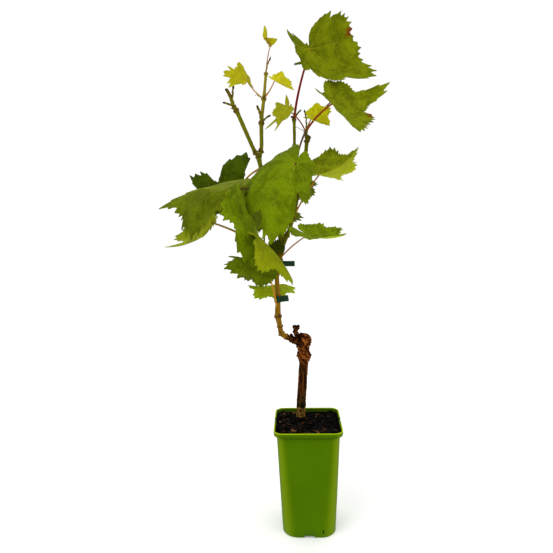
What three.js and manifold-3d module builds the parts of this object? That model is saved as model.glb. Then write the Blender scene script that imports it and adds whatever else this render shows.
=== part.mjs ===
// A young grafted grapevine in a tall square nursery pot.
// Millimetres, +Z up. The origin is the middle of the pot's flat underside, the pot's sides run along
// X and Y, and the vine's crown hangs a little toward -X and -Y.

import * as THREE from "three";
import { mergeVertices } from "three/addons/utils/BufferGeometryUtils.js";
import Module from "manifold-3d";

const wasm = await Module();
wasm.setup();

// ---- Driving dimensions -------------------------------------------------------------------------

const GAP = 0.3; // air left between neighbouring solids

const POT_HEIGHT = 147;
const RIM_WIDTH = 90;
const BODY_WIDTH = 82; // just under the lip
const FOOT_WIDTH = 71;
const FOOT_BEVEL = 1.5;
const FOOT_RADIUS = 20; // the corners grow rounder toward the foot
const CORNER_RADIUS = 12;
const LIP_HEIGHT = 7;
const WALL = 1.8;
const CORNER_STEPS = 4;
const NOTCH = { width: 13, height: 3 }; // cut-outs in the foot and the rim
const SLIT = { width: 1.4, height: 5, side: 18, level: 6 };
const DRAIN = { radius: 4, spread: 19 };

const SOIL_LEVEL = 141;
const SOIL_RELIEF = 1.6;
const TRUNK_FOOT = [-9.5, 24]; // where the trunk leaves the soil
const TRUNK_SUNK = 3; // trimmed off level with the soil
const FOOT_FLAT = 9.5; // radius of level soil round the trunk

const DEG = Math.PI / 180;

// ---- Looks --------------------------------------------------------------------------------------

const FINISH = {
  pot: { color: 0x6f9a10, roughness: 0.45 },
  soil: { color: 0x1d1410, roughness: 1 },
  bark: { color: 0x4a2c1a, roughness: 0.9 },
  cane: { color: 0x8a6a2c, roughness: 0.7 },
  shoot: { color: 0x6d7c22, roughness: 0.6 },
  tie: { color: 0x123a1e, roughness: 0.6 },
  leaf: { color: 0x66851a, roughness: 0.6 },
  young: { color: 0xa9b025, roughness: 0.6 },
};

// ---- Stems --------------------------------------------------------------------------------------

// Each internode is [length, lean from straight up, bearing from +X to +Y, radius where it ends].
// A stub is [node, length, lean, bearing, radius]: what is left of a cut petiole, tendril or side shoot.
const STEMS = {
  trunk: {
    finish: "bark", sides: 10, radius: 8.2, knobs: 0.07,
    internodes: [[6, 4, -40, 6.4], [45, 4, -22, 6], [32, 5, -20, 6.1], [6, 5, -40, 8.2], [5, 6, -70, 8.8],
      [6, 4, 180, 7.2], [12, 5, -100, 9.9], [8, 8, 10, 8.4], [4, 12, 10, 5.6]],
    stubs: [[0, 6, 92, -90, 3.4], [7, 12, 60, 20, 4.2], [5, 10, 85, 150, 4.4], [7, 11, 75, -70, 4.6]],
  },
  trunk_spur: {
    finish: "bark", sides: 6, on: ["trunk", 7], radius: 3.8, knobs: 0.12,
    internodes: [[8, 45, -175, 3.6], [9, 30, 175, 2.8], [7, 5, -90, 4.4], [3, 20, 0, 3.2]],
    stubs: [[3, 6, 55, -10, 2.3], [3, 5, 70, 170, 2.2]],
  },
  cane_arm: {
    finish: "bark", sides: 8, on: ["trunk", 7], radius: 6.2, knobs: 0.1,
    internodes: [[9, 75, -150, 5.6], [10, 66, -154, 4.2], [10, 62, -154, 3.2]],
    stubs: [[2, 8, 15, -120, 2.3]],
  },
  cane: {
    finish: "cane", sides: 6, on: ["cane_arm", 3], radius: 3, swelling: 0.9,
    internodes: [[8, 52, -158, 3.1], [11, 18, -122, 2.8], [14, 14, -128, 3.6], [27, 3, -80, 2.7],
      [31, 1, -170, 2.6], [19, 12, 0, 2.7], [13, 11, 0, 3.4]],
    stubs: [[3, 5, 60, 20, 1.4], [5, 6, 50, 10, 1.3]],
  },
  shoot_left: {
    finish: "shoot", sides: 6, on: ["cane", 7], radius: 2.2, swelling: 0.7,
    internodes: [[30, 17, -111, 2.1], [40, 15, 180, 2], [37, 16, -168, 2], [15, 11, 180, 3.2]],
    stubs: [],
  },
  shoot_left_arm: {
    finish: "shoot", sides: 6, on: ["shoot_left", 4], radius: 2.6, swelling: 1.2,
    internodes: [[5, 40, -170, 2.1], [57, 26, -154, 2.2], [5, 40, -150, 3.1]],
    stubs: [[3, 24, 13, 170, 1.8], [3, 26, 6, 150, 0.9], [3, 14, 68, 175, 1]],
  },
  shoot_left_top: {
    finish: "shoot", sides: 6, on: ["shoot_left", 4], radius: 2.6, swelling: 1.1,
    internodes: [[7, 30, 30, 2.1], [37, 10, 80, 2.1], [31, 11, 55, 1.7], [33, 8, 42, 1.4]],
    stubs: [[2, 22, 14, 170, 1.5], [2, 15, 52, 0, 1], [3, 11, 38, -5, 0.6], [4, 20, 20, -10, 0.8]],
  },
  shoot_middle: {
    finish: "shoot", sides: 6, on: ["cane", 7], radius: 2, swelling: 1,
    internodes: [[36, 20, 70, 1.9], [69, 12, 46, 1.8], [33, 12, 48, 1.7], [37, 5, 82, 1.8]],
    stubs: [[4, 15, 42, -10, 0.9], [4, 7, 75, -120, 1.3]],
  },
  shoot_right: {
    finish: "shoot", sides: 6, on: ["cane", 7], radius: 2.2, swelling: 1,
    internodes: [[20, 27, -30, 2.1], [24, 22, -26, 2.1], [29, 15, -33, 1.9], [42, 13, -24, 1.8],
      [25, 10, -40, 2.1], [11, 6, 180, 1.7]],
    stubs: [[5, 7, 40, -30, 2.2], [6, 27, 3, 180, 0.7]],
  },
};

// ---- Leaves -------------------------------------------------------------------------------------

// A blade's outline in polar form round the petiole joint, for a blade of length 1. Lobe tips stand at
// these angles from the midrib, on both sides, with these reaches; the notch between two is this deep.
const LOBE_ANGLE = [0, 48, 96, 144];
const LOBE_REACH = [1, 0.88, 0.72, 0.52];
const NOTCH_DEPTH = [0.16, 0.13, 0.05];
const NOTCH_SPREAD = 0.22;
const LOBE_WAIST = 0.05;
const JOINT_REACH = 0.06; // where the outline comes back to the petiole
const TOOTH_ANGLE = 16;
const TOOTH_HEIGHT = 0.055;
const FOLD_SOFTNESS = 0.06;
const THICKNESS = 0.013; // of the blade's length

// A leaf: the stem and node that carry it; its petiole [length, lean, bearing, bow, radius]; its blade's
// pose [length, lean, bearing, roll]; its curl in degrees per blade length [along, left, right]; its
// fold along the midrib; its ripple [height, phase]; how far its middle lobe and the [lateral, basal]
// lobes of each side reach, with the heel beside the joint where it is out of the common; and how deep
// its notches are cut.
const LARGE_BLADE = 80; // longer blades are bent in three steps from joint to rim, others in two
const SMALL_BLADE = 65; // shorter blades have one point a tooth, others two
const TIP_BLADE = 20; // shorter blades are flat fans
const LEAVES = {
  leaf_top: {
    on: ["shoot_middle", 4], petiole: [86, 24, -53, 4, 1.3], finish: "leaf",
    blade: { pose: [89, 123, 27, 83], curl: [-51, 1, -54], fold: 0.32, ripple: [0.15, 162],
      centre: 1, left: [0.95, 0.76, 0.3], right: [1.12, 0.9, 0.8], cut: 1.2,
      trims: [[142, -0.8, 13], [-160, 1.2, 10], [-175, 0.9, 5], [-72, -0.35, 15], [-57, -0.15, 8],
        [48, -0.17, 12], [24, 0.05, 12], [72, 0.18, 9], [90, -0.15, 4]] },
  },
  leaf_upper_right: {
    on: ["shoot_right", 6], petiole: [49, 51, -30, 3, 1.1], finish: "leaf",
    blade: { pose: [60, 127, 6, 37], curl: [-27, -45, -5], fold: 0.21, ripple: [-0.12, 230],
      centre: 0.85, left: [1.24, 0.84], right: [1.24, 0.96], cut: 1.3,
      trims: [[50, 0.25, 7], [40, 0.12, 4], [66, -0.1, 6], [-24, 0.18, 10], [12, -0.2, 5]] },
  },
  leaf_young_right: {
    on: ["shoot_right", 6], petiole: [25, 36, 61, 0, 0.7], finish: "young",
    blade: { pose: [29, 106, -39, 35], curl: [25, -33, -37], fold: 0.3, ripple: [0.02, 255],
      centre: 1, left: [0.96, 1], right: [1.04, 1], cut: 1,
      trims: [[-120, -0.6, 40], [150, 0.25, 8]] },
  },
  leaf_young_middle: {
    on: ["shoot_right", 6], petiole: [36, 45, -147, 3, 0.7], finish: "young",
    blade: { pose: [23, 150, -175, -45], curl: [-15, -10, -14], fold: 0.25, ripple: [0.1, 304],
      centre: 1, left: [1.13, 0.92], right: [0.97, 1.06], cut: 1.2,
      trims: [[-144, 0.45, 8], [-115, -0.55, 14], [2, 0.35, 4], [-20, 1, 3], [130, -0.5, 35]] },
  },
  leaf_young_left: {
    on: ["shoot_left_top", 3], petiole: [28, 48, -49, -2, 0.7], finish: "young",
    blade: { pose: [29, 125, -11, 15], curl: [-14, -36, 6], fold: 0.21, ripple: [0.12, 184],
      centre: 1, left: [0.92, 1.1], right: [1.03, 0.9], cut: 1,
      trims: [[144, -0.6, 20], [-120, -0.7, 35], [110, -0.2, 12]] },
  },
  leaf_tip_left: {
    on: ["shoot_left_top", 3], petiole: [37, 42, 158, -2, 0.7], finish: "young",
    blade: { pose: [36, 45, 117, 12], curl: [-12, 51, 48], fold: -0.26, ripple: [0, 0],
      centre: 1, left: [1.03, 1], right: [0.95, 0.89], cut: 1.8,
      trims: [[60, 0.12, 5], [38, -0.25, 3], [30, 0.35, 3], [12, -0.2, 3], [-14, -0.2, 4],
        [-96, -0.65, 40], [110, 0.15, 10], [96, -0.2, 4], [138, -0.3, 8]] },
  },
  tip_spray: {
    on: ["shoot_left_top", 4], petiole: [35, 11, 19, 1, 0.6], finish: "young",
    blade: { pose: [13, 60, -20, 0], curl: [-20, 10, 10], fold: 0.3, ripple: [0.02, 0],
      centre: 1, left: [0.9, 0.9], right: [0.9, 0.9], cut: 0.6 },
    next: {
      petiole: [13, 33, -175, -1, 0.5],
      blade: { pose: [14, 12, 130, 0], curl: [-20, 40, 40], fold: 0.4, ripple: [0, 0],
        centre: 1, left: [0.6, 0.5], right: [0.6, 0.5], cut: 0.6 },
    },
  },
  leaf_front: {
    on: ["shoot_right", 6], petiole: [89, 122, -100, 4, 1], finish: "leaf",
    blade: { pose: [90, 138, -113, -27], curl: [44, 70, 52], fold: -0.5, ripple: [0.12, 351],
      centre: 1, left: [0.51, 0.4, 0.6], right: [1.25, 1.24, 1], cut: 1.5,
      trims: [[20, -0.35, 3.5], [180, 1.4, 16]] },
  },
  leaf_front_left: {
    on: ["shoot_left", 2], petiole: [46, 79, -139, 5, 1.1], finish: "leaf",
    blade: { pose: [94, 144, -59, -47], curl: [28, 25, 2], fold: -0.02, ripple: [0.12, 5],
      centre: 1, left: [1.05, 0.8, 0.3], right: [1.02, 0.38, 0.15], cut: 1.2 },
  },
  leaf_far_left: {
    on: ["shoot_left", 3], petiole: [33, 111, 134, 2, 1.1], finish: "leaf",
    blade: { pose: [121, 92, 159, -172], curl: [-60, 33, -14], fold: 0.34, ripple: [-0.15, 267],
      centre: 1, left: [1, 0.4], right: [1.25, 0.82, 0.3], cut: 1.5,
      trims: [[-24, 0.15, 10], [-38, -0.12, 6], [-60, -0.1, 8]] },
  },
  leaf_low_left: {
    on: ["cane", 6], petiole: [162, 72, 133, 5, 1], finish: "leaf",
    blade: { pose: [83, 144, -149, -140], curl: [53, 67, -1], fold: -0.06, ripple: [-0.15, 31],
      centre: 1, left: [1, 0.5, 0.4], right: [1.11, 0.62, 0.42], cut: 1.6,
      trims: [[72, -0.75, 22], [46, -0.5, 12], [24, -0.15, 6], [10, -0.3, 4]] },
  },
  leaf_low_front: {
    on: ["cane", 3], petiole: [78, 24, -113, 4, 1], finish: "leaf",
    blade: { pose: [58, 80, -134, -25], curl: [28, 2, 9], fold: -0.12, ripple: [0.11, 146],
      centre: 1, left: [0.96, 0.89], right: [0.95, 1], cut: 1,
      trims: [[110, -0.5, 30]] },
  },
  leaf_folded: {
    on: ["shoot_left", 2], petiole: [88, 127, -94, 3, 0.9], finish: "young",
    blade: { pose: [57, 131, -22, -14], curl: [35, -14, 20], fold: -0.19, ripple: [-0.12, 237],
      centre: 1, left: [0.87, 1], right: [1.07, 1.06], cut: 1,
      trims: [[-115, -0.7, 35]] },
  },
  leaf_lowest: {
    on: ["cane", 3], petiole: [63, 57, 100, 2, 0.8], finish: "young",
    blade: { pose: [43, 94, -74, 5], curl: [35, 14, -22], fold: -0.11, ripple: [-0.11, 231],
      centre: 1, left: [0.96, 1.09], right: [1.03, 1.08], cut: 1 },
  },
  leaf_crown: {
    on: ["cane", 7], petiole: [10, 100, -123, 1, 0.8], finish: "leaf",
    blade: { pose: [22, 60, -150, 0], curl: [20, 10, 10], fold: 0.1, ripple: [0.05, 0],
      centre: 1, left: [1, 1], right: [1, 1], cut: 1 },
  },
  leaf_right: {
    on: ["cane", 7], petiole: [107, 30, -26, 5, 1], finish: "leaf",
    blade: { pose: [60, 81, 15, 20], curl: [-39, -28, 12], fold: 0.31, ripple: [0.11, 104],
      centre: 1, left: [1.01, 0.78], right: [0.97, 1.17], cut: 1,
      trims: [[115, -0.55, 28], [-84, 0.2, 8], [12, -0.12, 6]] },
  },
  leaf_low_right: {
    on: ["cane", 6], petiole: [61, 58, -47, 2, 0.8], finish: "leaf",
    blade: { pose: [50, 110, -27, 2], curl: [-38, -25, 22], fold: 0.19, ripple: [0.01, 150],
      centre: 1, left: [1.08, 0.96], right: [1.02, 0.94], cut: 1 },
  },
  leaf_back_right: {
    on: ["shoot_right", 3], petiole: [36, 75, 102, 2, 0.9], finish: "leaf",
    blade: { pose: [36, 110, 140, 10], curl: [25, 20, 15], fold: 0.15, ripple: [0.08, 40],
      centre: 1, left: [1, 1], right: [1, 1], cut: 1 },
  },
  leaf_back_left: {
    on: ["shoot_middle", 1], petiole: [68, 71, 120, 4, 1], finish: "leaf",
    blade: { pose: [62, 120, 60, -15], curl: [30, 20, 10], fold: 0.12, ripple: [0.09, 120],
      centre: 1, left: [0.98, 1], right: [1.05, 0.95], cut: 1.1 },
  },
  leaf_back_middle: {
    on: ["shoot_middle", 2], petiole: [69, 94, 97, 4, 1.1], finish: "leaf",
    blade: { pose: [60, 115, 85, 5], curl: [35, 5, 20], fold: 0.1, ripple: [0.1, 200],
      centre: 1, left: [1.02, 0.95], right: [1, 1.03], cut: 1 },
  },
  leaf_back_low: {
    on: ["shoot_right", 2], petiole: [62, 73, 122, 3, 0.9], finish: "leaf",
    blade: { pose: [50, 105, 110, 10], curl: [25, 15, 5], fold: 0.18, ripple: [0.07, 300],
      centre: 1, left: [1, 0.95], right: [0.96, 1], cut: 1 },
  },
  leaf_back_lowest: {
    on: ["cane", 5], petiole: [55, 90, 121, 4, 0.8], finish: "young",
    blade: { pose: [38, 110, 120, 0], curl: [25, 10, 10], fold: 0.1, ripple: [0.08, 90],
      centre: 1, left: [1, 1], right: [1, 0.95], cut: 1 },
  },
  leaf_back_top: {
    on: ["shoot_middle", 4], petiole: [99, 28, 66, 4, 1], finish: "leaf",
    blade: { pose: [32, 70, 40, 0], curl: [30, 15, 15], fold: 0.12, ripple: [0.09, 60],
      centre: 1, left: [1, 1], right: [1.04, 0.96], cut: 1 },
  },
  leaf_back_upper_right: {
    on: ["shoot_right", 6], petiole: [83, 50, 46, 3, 0.9], finish: "young",
    blade: { pose: [30, 100, 60, 15], curl: [20, 20, 10], fold: 0.15, ripple: [0.08, 10],
      centre: 1, left: [1, 1], right: [1, 1], cut: 1 },
  },
  leaf_back_far_left: {
    on: ["shoot_left", 2], petiole: [105, 94, 130, 4, 1], finish: "leaf",
    blade: { pose: [92, 20, 78, 1], curl: [44, -70, 70], fold: 0.04, ripple: [0.15, 116],
      centre: 1, left: [0.7, 0.55, 0.3], right: [0.95, 0.5, 0.3], cut: 2.4,
      trims: [[-12, 0.15, 7], [12, 0.1, 6], [62, 0.2, 8], [36, 0.15, 6]] },
  },
};

const TIE_THICKNESS = 0.8;
const TIES = {
  tie_lower: { on: ["cane", 4], lift: 0, half: [4.4, 4], height: 8, tail: 10, bearing: -15, tilt: -8 },
  tie_upper: { on: ["cane", 6], lift: -9, half: [5.6, 4.8], height: 7, tail: 14, bearing: -10, tilt: 0 },
};


// ---- Geometry -----------------------------------------------------------------------------------

// A unit vector that leans from straight up toward a bearing, both in degrees.
function heading(lean, bearing) {
  const side = Math.sin(lean * DEG);
  const turn = bearing * DEG;
  return new THREE.Vector3(side * Math.cos(turn), side * Math.sin(turn), Math.cos(lean * DEG));
}

function smoothstep(low, high, value) {
  const t = THREE.MathUtils.clamp((value - low) / (high - low), 0, 1);
  return t * t * (3 - 2 * t);
}

// A closed geometry from a flat list of vertices and a list of triangles.
function geometryOf(vertices, triangles) {
  const geometry = new THREE.BufferGeometry();
  geometry.setAttribute("position", new THREE.Float32BufferAttribute(vertices, 3));
  geometry.setIndex(triangles);
  return geometry;
}

// A closed skin over rings of points, each counter-clockwise seen from the last ring's side, with a
// fan over the first and the last ring.
function skin(rings) {
  const vertices = [];
  const triangles = [];
  const count = rings[0].length;
  for (const ring of rings) {
    for (const point of ring) vertices.push(point.x, point.y, point.z);
  }
  for (let row = 0; row + 1 < rings.length; row++) {
    for (let i = 0; i < count; i++) {
      const a = row * count + i;
      const b = row * count + ((i + 1) % count);
      triangles.push(a, b, b + count, a, b + count, a + count);
    }
  }
  for (const end of [0, rings.length - 1]) {
    const middle = new THREE.Vector3();
    for (const point of rings[end]) middle.addScaledVector(point, 1 / count);
    const hub = vertices.length / 3;
    vertices.push(middle.x, middle.y, middle.z);
    for (let i = 0; i < count; i++) {
      const a = end * count + i;
      const b = end * count + ((i + 1) % count);
      if (end === 0) triangles.push(hub, b, a);
      else triangles.push(hub, a, b);
    }
  }
  return geometryOf(vertices, triangles);
}

function solidOf(geometry) {
  const bare = geometry.clone();
  bare.deleteAttribute("normal");
  bare.deleteAttribute("uv");
  const merged = mergeVertices(bare, 1e-4);
  return new wasm.Manifold(new wasm.Mesh({
    numProp: 3,
    vertProperties: new Float32Array(merged.attributes.position.array),
    triVerts: new Uint32Array(merged.index.array),
  }));
}

function box(width, depth, height, x, y, z) {
  return solidOf(new THREE.BoxGeometry(width, depth, height).translate(x, y, z));
}

function post(radius, height, x, y, z) {
  const upright = new THREE.CylinderGeometry(radius, radius, height, 16).rotateX(Math.PI / 2);
  return solidOf(upright.translate(x, y, z));
}

// The largest of a solid's separate pieces.
function largest(solid) {
  const pieces = solid.decompose();
  pieces.sort((a, b) => b.volume() - a.volume());
  return pieces[0];
}

// ---- Pot and soil -------------------------------------------------------------------------------

// A level ring of points round a square of the given half width with round corners.
function squareRing(half, radius, level) {
  const ring = [];
  for (let corner = 0; corner < 4; corner++) {
    const start = corner * 90;
    const x = (half - radius) * (corner === 0 || corner === 3 ? 1 : -1);
    const y = (half - radius) * (corner < 2 ? 1 : -1);
    for (let step = 0; step <= CORNER_STEPS; step++) {
      const angle = (start + (90 * step) / CORNER_STEPS) * DEG;
      ring.push(new THREE.Vector3(x + radius * Math.cos(angle), y + radius * Math.sin(angle), level));
    }
  }
  return ring;
}

function bodyHalf(level) {
  return THREE.MathUtils.lerp(FOOT_WIDTH, BODY_WIDTH, level / (POT_HEIGHT - LIP_HEIGHT)) / 2;
}

function cornerRadius(level) {
  return THREE.MathUtils.lerp(FOOT_RADIUS, CORNER_RADIUS, Math.min(level / (POT_HEIGHT - LIP_HEIGHT), 1));
}

// The pot's inside, from its floor to its rim, drawn in by an inset.
function insideRings(inset) {
  const step = POT_HEIGHT - LIP_HEIGHT;
  const rings = [
    [bodyHalf(0) - WALL - FOOT_BEVEL, WALL],
    [bodyHalf(FOOT_BEVEL) - WALL, FOOT_BEVEL + WALL],
    [bodyHalf(step) - WALL, step - 1.6],
    [RIM_WIDTH / 2 - WALL - 0.8, step + 1.2],
    [RIM_WIDTH / 2 - WALL, POT_HEIGHT],
  ];
  return rings.map(([half, level]) => squareRing(half - inset, cornerRadius(level) - WALL - inset, level));
}

function makePot() {
  const step = POT_HEIGHT - LIP_HEIGHT;
  const outside = [
    squareRing(bodyHalf(0) - FOOT_BEVEL, FOOT_RADIUS - FOOT_BEVEL, 0),
    squareRing(bodyHalf(FOOT_BEVEL), FOOT_RADIUS, FOOT_BEVEL),
    squareRing(bodyHalf(step), CORNER_RADIUS, step),
    squareRing(RIM_WIDTH / 2 - 1, CORNER_RADIUS, step + 0.3),
    squareRing(RIM_WIDTH / 2, CORNER_RADIUS, POT_HEIGHT - 0.8),
    squareRing(RIM_WIDTH / 2 - 0.4, CORNER_RADIUS, POT_HEIGHT),
  ];
  let pot = solidOf(skin([...outside, ...insideRings(0).reverse()]));
  for (const side of [-1, 1]) {
    const foot = (side * FOOT_WIDTH) / 2;
    const rim = (side * RIM_WIDTH) / 2;
    pot = pot.subtract(box(NOTCH.width, 16, 2 * NOTCH.height, 0, foot, 0));
    pot = pot.subtract(box(8, NOTCH.width, 2 * NOTCH.height, rim, 0, POT_HEIGHT));
    const slit = box(SLIT.width, 10, SLIT.height, -side * SLIT.side, foot, SLIT.level + SLIT.height / 2);
    pot = pot.subtract(slit);
    for (const across of [-1, 1]) {
      pot = pot.subtract(post(DRAIN.radius, 4 * WALL, side * DRAIN.spread, across * DRAIN.spread, 0));
    }
  }
  return pot;
}

// How far the soil's surface stands over its mean level.
function soilHeight(x, y) {
  const away = smoothstep(FOOT_FLAT, 2.2 * FOOT_FLAT, Math.hypot(x - TRUNK_FOOT[0], y - TRUNK_FOOT[1]));
  const lumps = Math.sin(0.21 * x + 0.9) * Math.cos(0.17 * y - 0.4) + 0.5 * Math.sin(0.47 * x - 0.33 * y);
  return SOIL_RELIEF * away * (lumps - 0.5 * x / RIM_WIDTH - 0.4);
}

function makeSoil() {
  const floor = WALL + GAP;
  const filling = insideRings(GAP);
  for (const point of filling[0]) point.z = floor;
  const ground = [squareRing(RIM_WIDTH / 2, CORNER_RADIUS, 0)];
  for (const share of [1, 0.82, 0.62, 0.42, 0.2]) {
    const ring = squareRing((RIM_WIDTH / 2) * share, CORNER_RADIUS * share, SOIL_LEVEL);
    for (const point of ring) point.z += soilHeight(point.x, point.y);
    ground.push(ring);
  }
  const soil = solidOf(skin(filling)).intersect(solidOf(skin(ground)));
  return soil.subtract(post(FOOT_FLAT, 20, TRUNK_FOOT[0], TRUNK_FOOT[1], SOIL_LEVEL - GAP + 10));
}

// ---- Stems --------------------------------------------------------------------------------------

// The points where a stem's internodes meet, from its foot to its tip.
function nodesOf(name) {
  const stem = STEMS[name];
  let point = new THREE.Vector3(TRUNK_FOOT[0], TRUNK_FOOT[1], SOIL_LEVEL - TRUNK_SUNK);
  if (stem.on) point = nodesOf(stem.on[0])[stem.on[1]];
  const nodes = [point.clone()];
  for (const [length, lean, bearing] of stem.internodes) {
    point = point.clone().addScaledVector(heading(lean, bearing), length);
    nodes.push(point);
  }
  return nodes;
}

// Rings of a round limb along a curve. Each ring is turned as little as possible from the last one, and
// knobs push it in and out by a share of its radius.
function limbRings(curve, places, sides, radiusAt, knobs = 0) {
  const rings = [];
  let across = new THREE.Vector3(1, 0, 0);
  for (const [step, t] of places.entries()) {
    const centre = curve.getPoint(t);
    const along = curve.getTangent(t);
    across = across.clone().addScaledVector(along, -across.dot(along)).normalize();
    const over = new THREE.Vector3().crossVectors(along, across);
    const ring = [];
    for (let side = 0; side < sides; side++) {
      const angle = (2 * Math.PI * side) / sides;
      const wave = Math.sin(3 * angle + 2.3 * step) + Math.sin(2 * angle - 1.7 * step);
      const reach = radiusAt(t) * (1 + knobs * wave);
      const point = centre.clone().addScaledVector(across, reach * Math.cos(angle));
      ring.push(point.addScaledVector(over, reach * Math.sin(angle)));
    }
    rings.push(ring);
  }
  return rings;
}

function curveThrough(points) {
  return new THREE.CatmullRomCurve3(points, false, "centripetal");
}

// Where a stem's rings stand along each internode: on a swollen node, beside it and before the next.
const SWOLLEN_PLACES = [0, 0.12, 0.88];
const PLAIN_PLACES = [0, 0.5];

// A stem with its swollen nodes and its stubs, thicker all round by an allowance.
function stemSolid(name, allowance = 0) {
  const stem = STEMS[name];
  const nodes = nodesOf(name);
  const radii = [stem.radius, ...stem.internodes.map((row) => row[3])];
  const inside = stem.swelling ? SWOLLEN_PLACES : PLAIN_PLACES;
  const count = stem.internodes.length;
  const places = stem.internodes.flatMap((row, i) => inside.map((share) => (i + share) / count));
  const radiusAt = (t) => {
    const place = Math.min(t * count, count - 1e-6);
    const node = Math.floor(place);
    const share = place - node;
    const swelling = (stem.swelling ?? 0) * Math.exp(-((Math.min(share, 1 - share) / 0.08) ** 2));
    return THREE.MathUtils.lerp(radii[node], radii[node + 1], share) + swelling + allowance;
  };
  const rings = limbRings(curveThrough(nodes), [...places, 1], stem.sides, radiusAt, stem.knobs);
  let solid = solidOf(skin(rings));
  for (const [node, length, lean, bearing, radius] of stem.stubs) {
    const tip = nodes[node].clone().addScaledVector(heading(lean, bearing), length);
    const thickness = (t) => radius * (1 - 0.25 * t) + allowance;
    const stub = limbRings(new THREE.LineCurve3(nodes[node], tip), [0, 1], 5, thickness);
    solid = solid.add(solidOf(skin(stub)));
  }
  return solid;
}

// A stem cut clear of the stem that carries it, and level where it stands on the soil.
function makeStem(name) {
  const stem = STEMS[name];
  if (!stem.on) {
    return stemSolid(name).subtract(box(60, 60, 60, TRUNK_FOOT[0], TRUNK_FOOT[1], SOIL_LEVEL - 30));
  }
  let solid = stemSolid(name);
  for (const other of Object.keys(STEMS)) {
    if (other === name) break;
    solid = solid.subtract(stemSolid(other, GAP));
  }
  return largest(solid);
}

// ---- Ties ---------------------------------------------------------------------------------------

// A flat tape looped round the stems with both ends brought together at one side.
function makeTie({ on, lift, half, height, tail, bearing, tilt }) {
  const [x, y, z] = nodesOf(on[0])[on[1]].toArray();
  const loop = (grow) => {
    const rings = [];
    for (const level of [-height / 2, height / 2]) {
      const ring = [];
      for (let side = 0; side < 16; side++) {
        const angle = (2 * Math.PI * side) / 16;
        ring.push(new THREE.Vector3((half[0] + grow) * Math.cos(angle), (half[1] + grow) * Math.sin(angle),
          grow > 0 ? level : level * 1.5));
      }
      rings.push(ring);
    }
    return solidOf(skin(rings));
  };
  const ends = box(tail, 1.6, height, half[0] + tail / 2, 0, 0);
  const tape = loop(TIE_THICKNESS).add(ends).subtract(loop(0));
  return largest(tape).rotate([0, tilt, bearing]).translate([x, y, z + lift]);
}

// ---- Leaves and their petioles ------------------------------------------------------------------

// How far a blade's own trims lengthen or shorten its reach at an angle: each is a bell round its angle.
function trimmed(angle, blade) {
  return (blade.trims ?? []).reduce((share, [at, change, width]) => {
    const apart = THREE.MathUtils.euclideanModulo(angle - at + 180, 360) - 180;
    return share * (1 + change * Math.exp(-((apart / width) ** 2)));
  }, 1);
}

// The outline's reach from the joint at an angle in degrees from the midrib, positive to the left.
function outline(angle, blade) {
  const away = Math.abs(angle);
  const [lateral, basal, heel = (1 + basal) / 2] = angle > 0 ? blade.left : blade.right;
  const share = [blade.centre, lateral, basal, heel];
  const last = LOBE_ANGLE.length - 1;
  const reach = (lobe) => LOBE_REACH[lobe] * share[lobe];
  if (away >= LOBE_ANGLE[last]) {
    const toJoint = (away - LOBE_ANGLE[last]) / (180 - LOBE_ANGLE[last]);
    return THREE.MathUtils.lerp(reach(last), JOINT_REACH, toJoint ** 1.5) * trimmed(angle, blade);
  }
  const lobe = LOBE_ANGLE.findLastIndex((start) => start <= away);
  const between = (away - LOBE_ANGLE[lobe]) / (LOBE_ANGLE[lobe + 1] - LOBE_ANGLE[lobe]);
  const notch = blade.cut * NOTCH_DEPTH[lobe] * Math.exp(-(((between - 0.5) / NOTCH_SPREAD) ** 2));
  const waist = LOBE_WAIST * Math.sin(Math.PI * between) ** 2;
  const lobed = THREE.MathUtils.lerp(reach(lobe), reach(lobe + 1), between);
  return lobed * (1 - waist) * (1 - notch) * trimmed(angle, blade);
}

// Rolls a length and a height over it round a curve of so many degrees per unit of length.
function rollUp(length, height, degrees) {
  const bend = (Math.abs(degrees) < 0.01 ? 0.01 : degrees) * DEG;
  const turn = bend * length;
  const along = Math.sin(turn) / bend + height * Math.sin(turn);
  const over = height * Math.cos(turn) - (1 - Math.cos(turn)) / bend;
  return [along, over];
}

// A point of a blade's middle surface: at an angle from its midrib and a reach from its joint.
function bladePoint(blade, joint, angle, reach) {
  const along = reach * Math.cos(angle * DEG);
  const aside = reach * Math.sin(angle * DEG);
  const ripple = blade.ripple[0] * reach * reach * Math.sin(3 * angle * DEG + blade.ripple[1] * DEG);
  const fold = blade.fold * (Math.hypot(aside, FOLD_SOFTNESS) - FOLD_SOFTNESS);
  const [spread, raised] = rollUp(Math.abs(aside), ripple + fold, aside > 0 ? blade.curl[1] : blade.curl[2]);
  const [forward, up] = rollUp(along, raised, blade.curl[0]);
  const [size, lean, bearing, roll] = blade.pose;
  const ahead = heading(lean, bearing);
  const level = heading(90, bearing + 90);
  const sideways = level.clone().applyAxisAngle(ahead, roll * DEG);
  const normal = new THREE.Vector3().crossVectors(ahead, sideways);
  return joint.clone()
    .addScaledVector(ahead, size * forward)
    .addScaledVector(sideways, size * Math.sign(aside) * spread)
    .addScaledVector(normal, size * up);
}

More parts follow.
